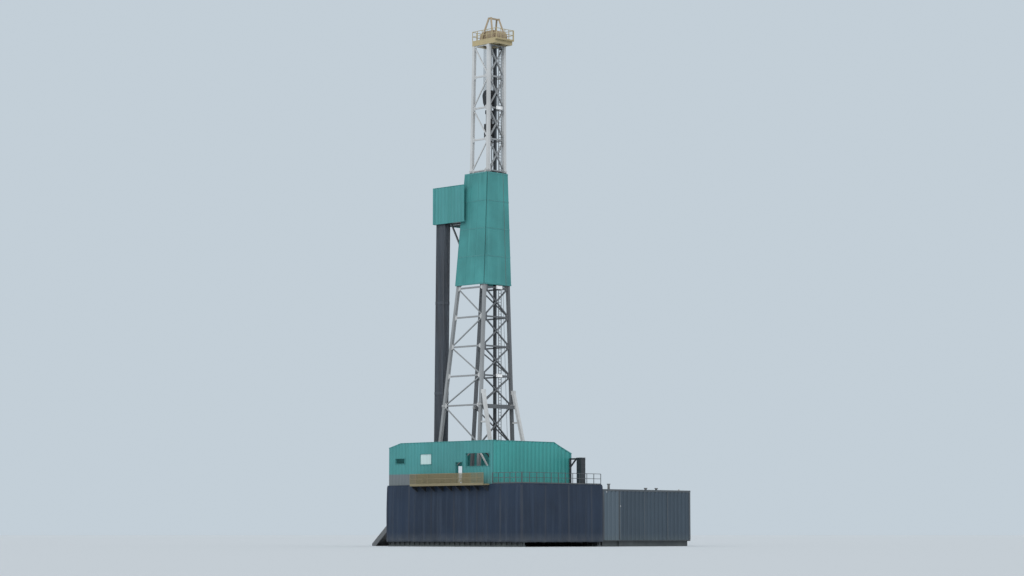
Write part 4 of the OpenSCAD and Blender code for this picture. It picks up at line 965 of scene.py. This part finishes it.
def crown_grating():
    """The bars of the crown platform beside its sheaves, and the bolts along its beams."""
    bars = Build()
    for k in range(9):
        y = (k - 4) * BAR_PITCH
        if abs(y) > SHEAVE_GAP_HALF:
            bars.box((crown.x0 + 2, y - 1, crown.z1), (crown.x1 - 2, y + 1, crown.z1 + 2))
    for x in (-118, -104, 198, 212, 224):
        bars.box((x - 1, crown.y0 + 4, crown.z1 + 0.4), (x + 1, crown.y1 - 4, crown.z1 + 2.4))
    for s in SIDES:
        for x in (-118, -40, 40, 118, 190):
            bars.bolt((x, s * crown.y1, crown.z1 - 22.3), (0, s, 0), 3, 2)
    bars.make("crown_grating", YELLOW, "rail_yellow")


def lamp_glasses_and_fins():
    """The glass of each floodlight on the mast's back, and the cooling fins behind it."""
    glass, fins = Build(), Build()
    y0, y1 = LAMP_Y - LAMP_HALF_W, LAMP_Y + LAMP_HALF_W
    for h in LAMP_HS:
        z = FLOOR_Z + h
        z0, z1 = z - LAMP_HALF_H, z + LAMP_HALF_H
        pane = [(LAMP_X, y0, z0), (LAMP_X, y1, z0), (LAMP_X, y1, z1), (LAMP_X, y0, z1)]
        glass.slab(pane, (1.6, 0, 0))
        for k in range(8):
            y = y0 + 1 + k * 9
            fins.box((LAMP_X - 19, y, z0 - 2), (LAMP_X - 12.6, y + 2, z1 + 2))
    glass.make("lamp_glasses", GLASS, "lamp", bevel=0.5)
    fins.make("lamp_fins", WHITE, "lamp")


# Guide rail, drawworks and crown guard

WINCH_BOLTS, SLAT_PITCH = 9, 10
GUARD_R, GUARD_HALF, GUARD_STEPS = 71.4, guard_box.y1, 8


def guide_brackets():
    """Brackets that hold the guide rail to the mast, and the webs between its flanges."""
    rail = Build()
    for h in LEVELS[1:-1]:
        z = FLOOR_Z + h
        for side in SIDES:
            y, outer = side * guide.y1, side * (guide.y1 + 9)
            rail.box((guide.x0 + 1, y, z - 7), (MAST_BACK - GIRT / 2, outer, z + 7))
            rail.bolt((guide.x0 + 10, outer, z), (0, side, 0), 2.6, 2.2)
    for z in steps(FLOOR_Z + 90, guide.z1 - 40, 305):
        for side in SIDES:
            rail.box((guide.x0 + 4.4, side * 2.2, z), (guide.x0 + 15.6, side * 14.6, z + 3))
    rail.make("guide_brackets", DARK, "dark_steel", bevel=0.4)


def winch_fittings():
    """Rows of bolts over the drawworks' drum and along its feet, and slats on its two housings."""
    fittings = Build()
    for y, out in ((-134, -1), (-82, -1), (82, 1), (134, 1)):
        for k in range(WINCH_BOLTS):
            a = pi * (0.08 + 0.84 * k / (WINCH_BOLTS - 1))
            place = (DRUM_X + 60 * cos(a), y, DRUM_Z + 26 * sin(a))
            fittings.bolt(place, (0, out, 0), 2.6, 2)
    for y in (-107, 107):
        for k in range(9):
            x = DRUM_X - 42 + k * SLAT_PITCH
            fittings.box((x, y - 20, DRUM_Z + 43.2), (x + 3.5, y + 20, DRUM_Z + 49))
    for x in (winch.x0 + 7, winch.x1 - 7):
        for y in (-120, -60, 0, 60, 120):
            fittings.bolt((x, y, FLOOR_Z + 18.5), UP, 3.2, 2.6)
    fittings.make("winch_fittings", BRIGHT, "steel")


def guard_outline():
    """The crown guard seen from the side, over the sheaves: pairs of x and z from the axle."""
    turns = [pi * k / (2 * GUARD_STEPS) for k in range(GUARD_STEPS + 1)]
    front = [(-GUARD_R * cos(a), GUARD_R * sin(a)) for a in turns]
    rear = [(LEAD_X + GUARD_R * sin(a), GUARD_R * cos(a)) for a in turns]
    return front + rear


def crown_guard_ribs():
    """Ribs over the crown guard, the bolts along its foot, and the ends of the axles."""
    ribs = Build()
    outline = guard_outline()
    for middle in (-69, -35, 0, 35, 69):
        y0, y1 = max(-GUARD_HALF, middle - 3), min(GUARD_HALF, middle + 3)
        for (xa, za), (xb, zb) in zip(outline, outline[1:]):
            a, b = CROWN_AXLE_Z + za, CROWN_AXLE_Z + zb
            out = Vector((za - zb, 0, xb - xa)).normalized() * 1.8
            ribs.slab([(xa, y0, a), (xb, y0, b), (xb, y1, b), (xa, y1, a)], out)
    for s in SIDES:
        for x in (-50, -20, 10, 40, 76, 106, 136, 166):
            ribs.bolt((x, s * GUARD_HALF, crown.z1 + 9), (0, s, 0), 2.4, 1.8)
        for x in (0, LEAD_X):
            ribs.bolt((x, s * GUARD_HALF, CROWN_AXLE_Z), (0, s, 0), 11, 3)
    ribs.make("crown_guard_ribs", ORANGE, "rail_yellow")


# Tank house

REAR_PANELS = ((18, 232), (250, 620), (640, 970), (990, 1302))
ROOF_BARS = 12


def tank_house_frame():
    """Corner posts, the trims of the rear wall's panels, and the bars and edges of the roof."""
    house = Build()
    roof, length = tank.z1, tank.y1 - tank.y0
    for x in (tank.x0 + 8, tank.x1 - 8):
        for y in (tank.y0 + 8, tank.y1 - 8):
            house.box((x - 7, y - 7, 64), (x + 7, y + 7, roof - 13))
    for panel in REAR_PANELS:
        for edge in panel:
            y = tank.y0 + edge
            house.box((tank.x1 - 4, y - 5, 66), (tank.x1 - 0.2, y + 5, roof - 15))
    for i in range(ROOF_BARS):
        y = tank.y0 + 55 + i * (length - 110) / (ROOF_BARS - 1)
        house.box((tank.x0 + 6, y - 4, roof), (tank.x1 - 6, y + 4, roof + 5))
    for x in (tank.x0, tank.x1 - 8):
        house.box((x, tank.y0, roof), (x + 8, tank.y1, roof + 7))
    house.make("tank_house_frame", ROOF, "slate", bevel=0.8)


def tank_house_lugs():
    """Lifting lugs on the roof, and two latches on the rear wall."""
    lugs = Build()
    roof = tank.z1
    low, high = roof + 0.2, roof + 22
    for x in (tank.x0 + 40, tank.x1 - 110):
        for y in (tank.y0 + 60, tank.y1 - 60):
            outline = [(x - 14, y, low), (x + 14, y, low), (x + 9, y, high), (x - 9, y, high)]
            lugs.slab(outline, (0, 6, 0))
    for y, z in ((LIGHT_END, 400), (630, 540)):
        lugs.box((tank.x1 - 6, y - 9, z - 7), (tank.x1 - 0.2, y + 9, z + 7))
    lugs.make("tank_house_lugs", WHITE, "lamp", bevel=0.6)


# Floor, near wall, porch and stairs

SCREEN_PITCH, SCREEN_BAR = 6.0, 2.2
HATCH = (-775, 218, 135, 50)
SIDE_WINDOW = (-408, 205, 160, 100)
LOUVRE = (247, 175, 330, 125)
DOOR_X, DOOR_W, DOOR_H = 102, 95, 215
RIM_W, RIM_T = 5, 3
BEAD_HALF, BEAD_H = 1.2, 0.7
POST_W = 62


def porch_screen():
    """The close upright bars of the screen along the porch's outer rail."""
    screen = Build()
    for x in steps(porch.x0 + SCREEN_PITCH, porch.x1 - SCREEN_PITCH, SCREEN_PITCH):
        screen.box((x, porch.y0 + 1, FLOOR_Z + 12), (x + SCREEN_BAR, porch.y0 + 3.5, FLOOR_Z + 100))
    screen.make("porch_screen", TAN, "rail_yellow")


def wall_frames():
    """Frames round the hatch, the window, the louvre and the door of the near wall."""
    frames = Build()
    face = near_wall.y0 - 0.4

    def bar(x0, x1, z0, z1):
        frames.box((x0, face - RIM_T, near_wall.z0 + z0), (x1, face + 0.4, near_wall.z0 + z1))

    for x, z, w, h in (HATCH, SIDE_WINDOW, LOUVRE):
        bar(x - RIM_W, x + w + RIM_W, z + h, z + h + RIM_W)
        bar(x - RIM_W, x + w + RIM_W, z - RIM_W, z)
        bar(x - RIM_W, x, z, z + h)
        bar(x + w, x + w + RIM_W, z, z + h)
    far_jamb = DOOR_X + DOOR_W
    bar(DOOR_X - RIM_W, DOOR_X, 0, DOOR_H + RIM_W)
    bar(far_jamb, far_jamb + RIM_W, 0, DOOR_H + RIM_W)
    bar(DOOR_X - RIM_W, far_jamb + RIM_W, DOOR_H, DOOR_H + RIM_W)
    frames.make("wall_frames", TEAL_MAST, "teal", bevel=0.4)


def porch_brackets():
    """Tapered brackets under the porch, from the tarpaulin outwards."""
    brackets = Build()
    inner, outer, z = porch.y1 - 0.2, porch.y0 + 4, porch.z0
    for x in steps(porch.x0 + 18, porch.x1 - 5, 126):
        outline = [(x, inner, z - 4), (x, outer, z - 1), (x, outer, z - 8), (x, inner, z - 56)]
        brackets.slab(outline, (6, 0, 0))
    brackets.make("porch_brackets", DARK, "dark_steel")


def deck_beads():
    """Weld beads between the plates of the floor, and bolts along the rear platform's edges."""
    deck = Build()
    top = FLOOR_Z + BEAD_H
    for k in range(1, 8):
        x = FRONT + 8 + k * 238.0
        deck.box((x - BEAD_HALF, 24 - HALF, FLOOR_Z), (x + BEAD_HALF, HALF - 24, top))
    for y in (-354, -118, 118, 354):
        deck.box((FRONT + 24, y - BEAD_HALF, FLOOR_Z), (REAR - 12, y + BEAD_HALF, top))
    for s in SIDES:
        for x in steps(FRONT + 1590, REAR - 60, 78):
            deck.bolt((x, s * (HALF - 12), FLOOR_Z), UP, 2.6, 2)
    deck.make("deck_beads", DECK, "dark_steel")


def post_fittings():
    """Foot plate, bands and top plate of the post frame on the rear platform."""
    fittings = Build()
    x0, x1, y, top = post.x1 - POST_W, post.x1, (post.y0 + post.y1) / 2, post.z1
    half = (post.y1 - post.y0) / 2

    def plate(grow_x, grow_y, z0, z1):
        fittings.box((x0 - grow_x, y - half - grow_y, z0), (x1 + grow_x, y + half + grow_y, z1))

    plate(9, 7, FLOOR_Z + FIT, FLOOR_Z + 5)
    for x in (x0 - 4.5, x1 + 4.5):
        for dy in (-32, 0, 32):
            fittings.bolt((x, y + dy, FLOOR_Z + 5), UP, 2.6, 2.4)
    for z in steps(FLOOR_Z + 60, FLOOR_Z + 260, 48):
        plate(1.4, 1.4, z, z + 3)
    plate(3, 3, top, top + 3)
    for x in (x0 - 26, x0 - 12):
        fittings.bolt((x, y - 8, top - 8), (0, -1, 0), 2.4, 2)
    fittings.make("post_fittings", DARK, "dark_steel", bevel=0.4)


def tread_grating():
    """The raised bars on each tread of the front stairs."""
    grating = Build()
    go, rise_h = (stair.x1 - stair.x0) / STAIR_TREADS, FLOOR_Z / STAIR_TREADS
    middle = (stair.y0 + stair.y1) / 2
    for i in range(1, STAIR_TREADS):
        x, z = stair.x0 + (i - 0.1) * go, i * rise_h
        for k in range(9):
            y = middle + (k - 4) * 8.5
            grating.box((x + 1, y - 1, z), (x + go * 0.95 - 1, y + 1, z + 1.6))
    grating.make("tread_grating", STEEL, "steel")


def beam_stiffeners():
    """Web plates along the two base beams."""
    webs = Build()
    bays = 26
    for s in SIDES:
        middle = s * (HALF - 34)
        for i in range(bays + 1):
            x = FRONT + 14 + i * (REAR - FRONT - 28) / bays
            webs.box((x - 2.5, middle - 20, 12.2), (x + 2.5, middle + 20, 47.8))
    webs.make("beam_stiffeners", DARK, "dark_steel")


# All pieces

for skirt in SKIRTS:
    hung_sheet(skirt)
skirt_lacing()
mast_plates_and_bolts()
wrap_seams_and_eyelets()
wall_caps()
drill_line_parts()
drum_rope()
gear_fittings()
crown_grating()
lamp_glasses_and_fins()
guide_brackets()
winch_fittings()
crown_guard_ribs()
tank_house_frame()
tank_house_lugs()
porch_screen()
wall_frames()
porch_brackets()
deck_beads()
post_fittings()
tread_grating()
beam_stiffeners()

# Stage, light and camera, in metres

GROUND_SIZE, GROUND_COLOUR = 600, (0.55, 0.6, 0.64)
SKY_SEEN, SKY_LIGHT, SKY_STRENGTH = (0.545, 0.622, 0.685), (0.97, 0.985, 1), 0.72
CAMERA_AZIMUTH, CAMERA_DISTANCE, CAMERA_Z, AIM_Z = radians(45), 26.1, 0.12, 2.66
CAMERA_LENS = 89


def ground():
    bpy.ops.mesh.primitive_plane_add(size=GROUND_SIZE, location=(0, 0, 0))
    plane = bpy.context.object
    plane.name = "ground"
    m = new_material("ground_surface")[0]
    plane.data.materials.append(finished(m, {"Base Color": GROUND_COLOUR, "Roughness": 0.9}))


def sky():
    """A plain sky that the camera and mirrors see in one colour and that lights in another."""
    world = bpy.data.worlds.new("sky")
    scene.world = world
    world.use_nodes = True
    t = world.node_tree
    t.nodes.clear()
    seen = node(t, "Background", {"Color": SKY_SEEN}).outputs[0]
    light = node(t, "Background", {"Color": SKY_LIGHT, "Strength": SKY_STRENGTH}).outputs[0]
    ray = node(t, "LightPath", {}).outputs
    mirrored = maths(t, "MAXIMUM", ray["Is Glossy Ray"], ray["Is Transmission Ray"])
    direct = maths(t, "MAXIMUM", ray["Is Camera Ray"], mirrored)
    pick = node(t, "MixShader", {0: direct, 1: light, 2: seen})
    node(t, "OutputWorld", {"Surface": pick.outputs[0]})


def aimed(name, data, towards):
    """A light or a camera in the scene, turned towards a direction."""
    o = bpy.data.objects.new(name, data)
    scene.collection.objects.link(o)
    o.rotation_mode = "QUATERNION"
    o.rotation_quaternion = Vector(towards).to_track_quat("-Z", "Y")
    return o


def sun(name, towards, strength, angle):
    """Soft light towards a direction; angle is how wide its disc is, in degrees."""
    data = bpy.data.lights.new(name, "SUN")
    data.energy = strength
    data.angle = radians(angle)
    aimed(name, data, towards)


def camera():
    data = bpy.data.cameras.new("camera")
    data.lens = CAMERA_LENS
    data.clip_end = 1500
    x, y = CAMERA_DISTANCE * sin(CAMERA_AZIMUTH), -CAMERA_DISTANCE * cos(CAMERA_AZIMUTH)
    place = Vector((x, y, CAMERA_Z))
    o = aimed("camera", data, Vector((0, 0, AIM_Z)) - place)
    o.location = place
    scene.camera = o


ground()
sky()
sun("key", (-0.38, 0.8, -0.62), 1.3, 40)
sun("side", (-0.9, 0.1, -0.5), 0.35, 60)
camera()

scene.view_settings.view_transform = "Standard"
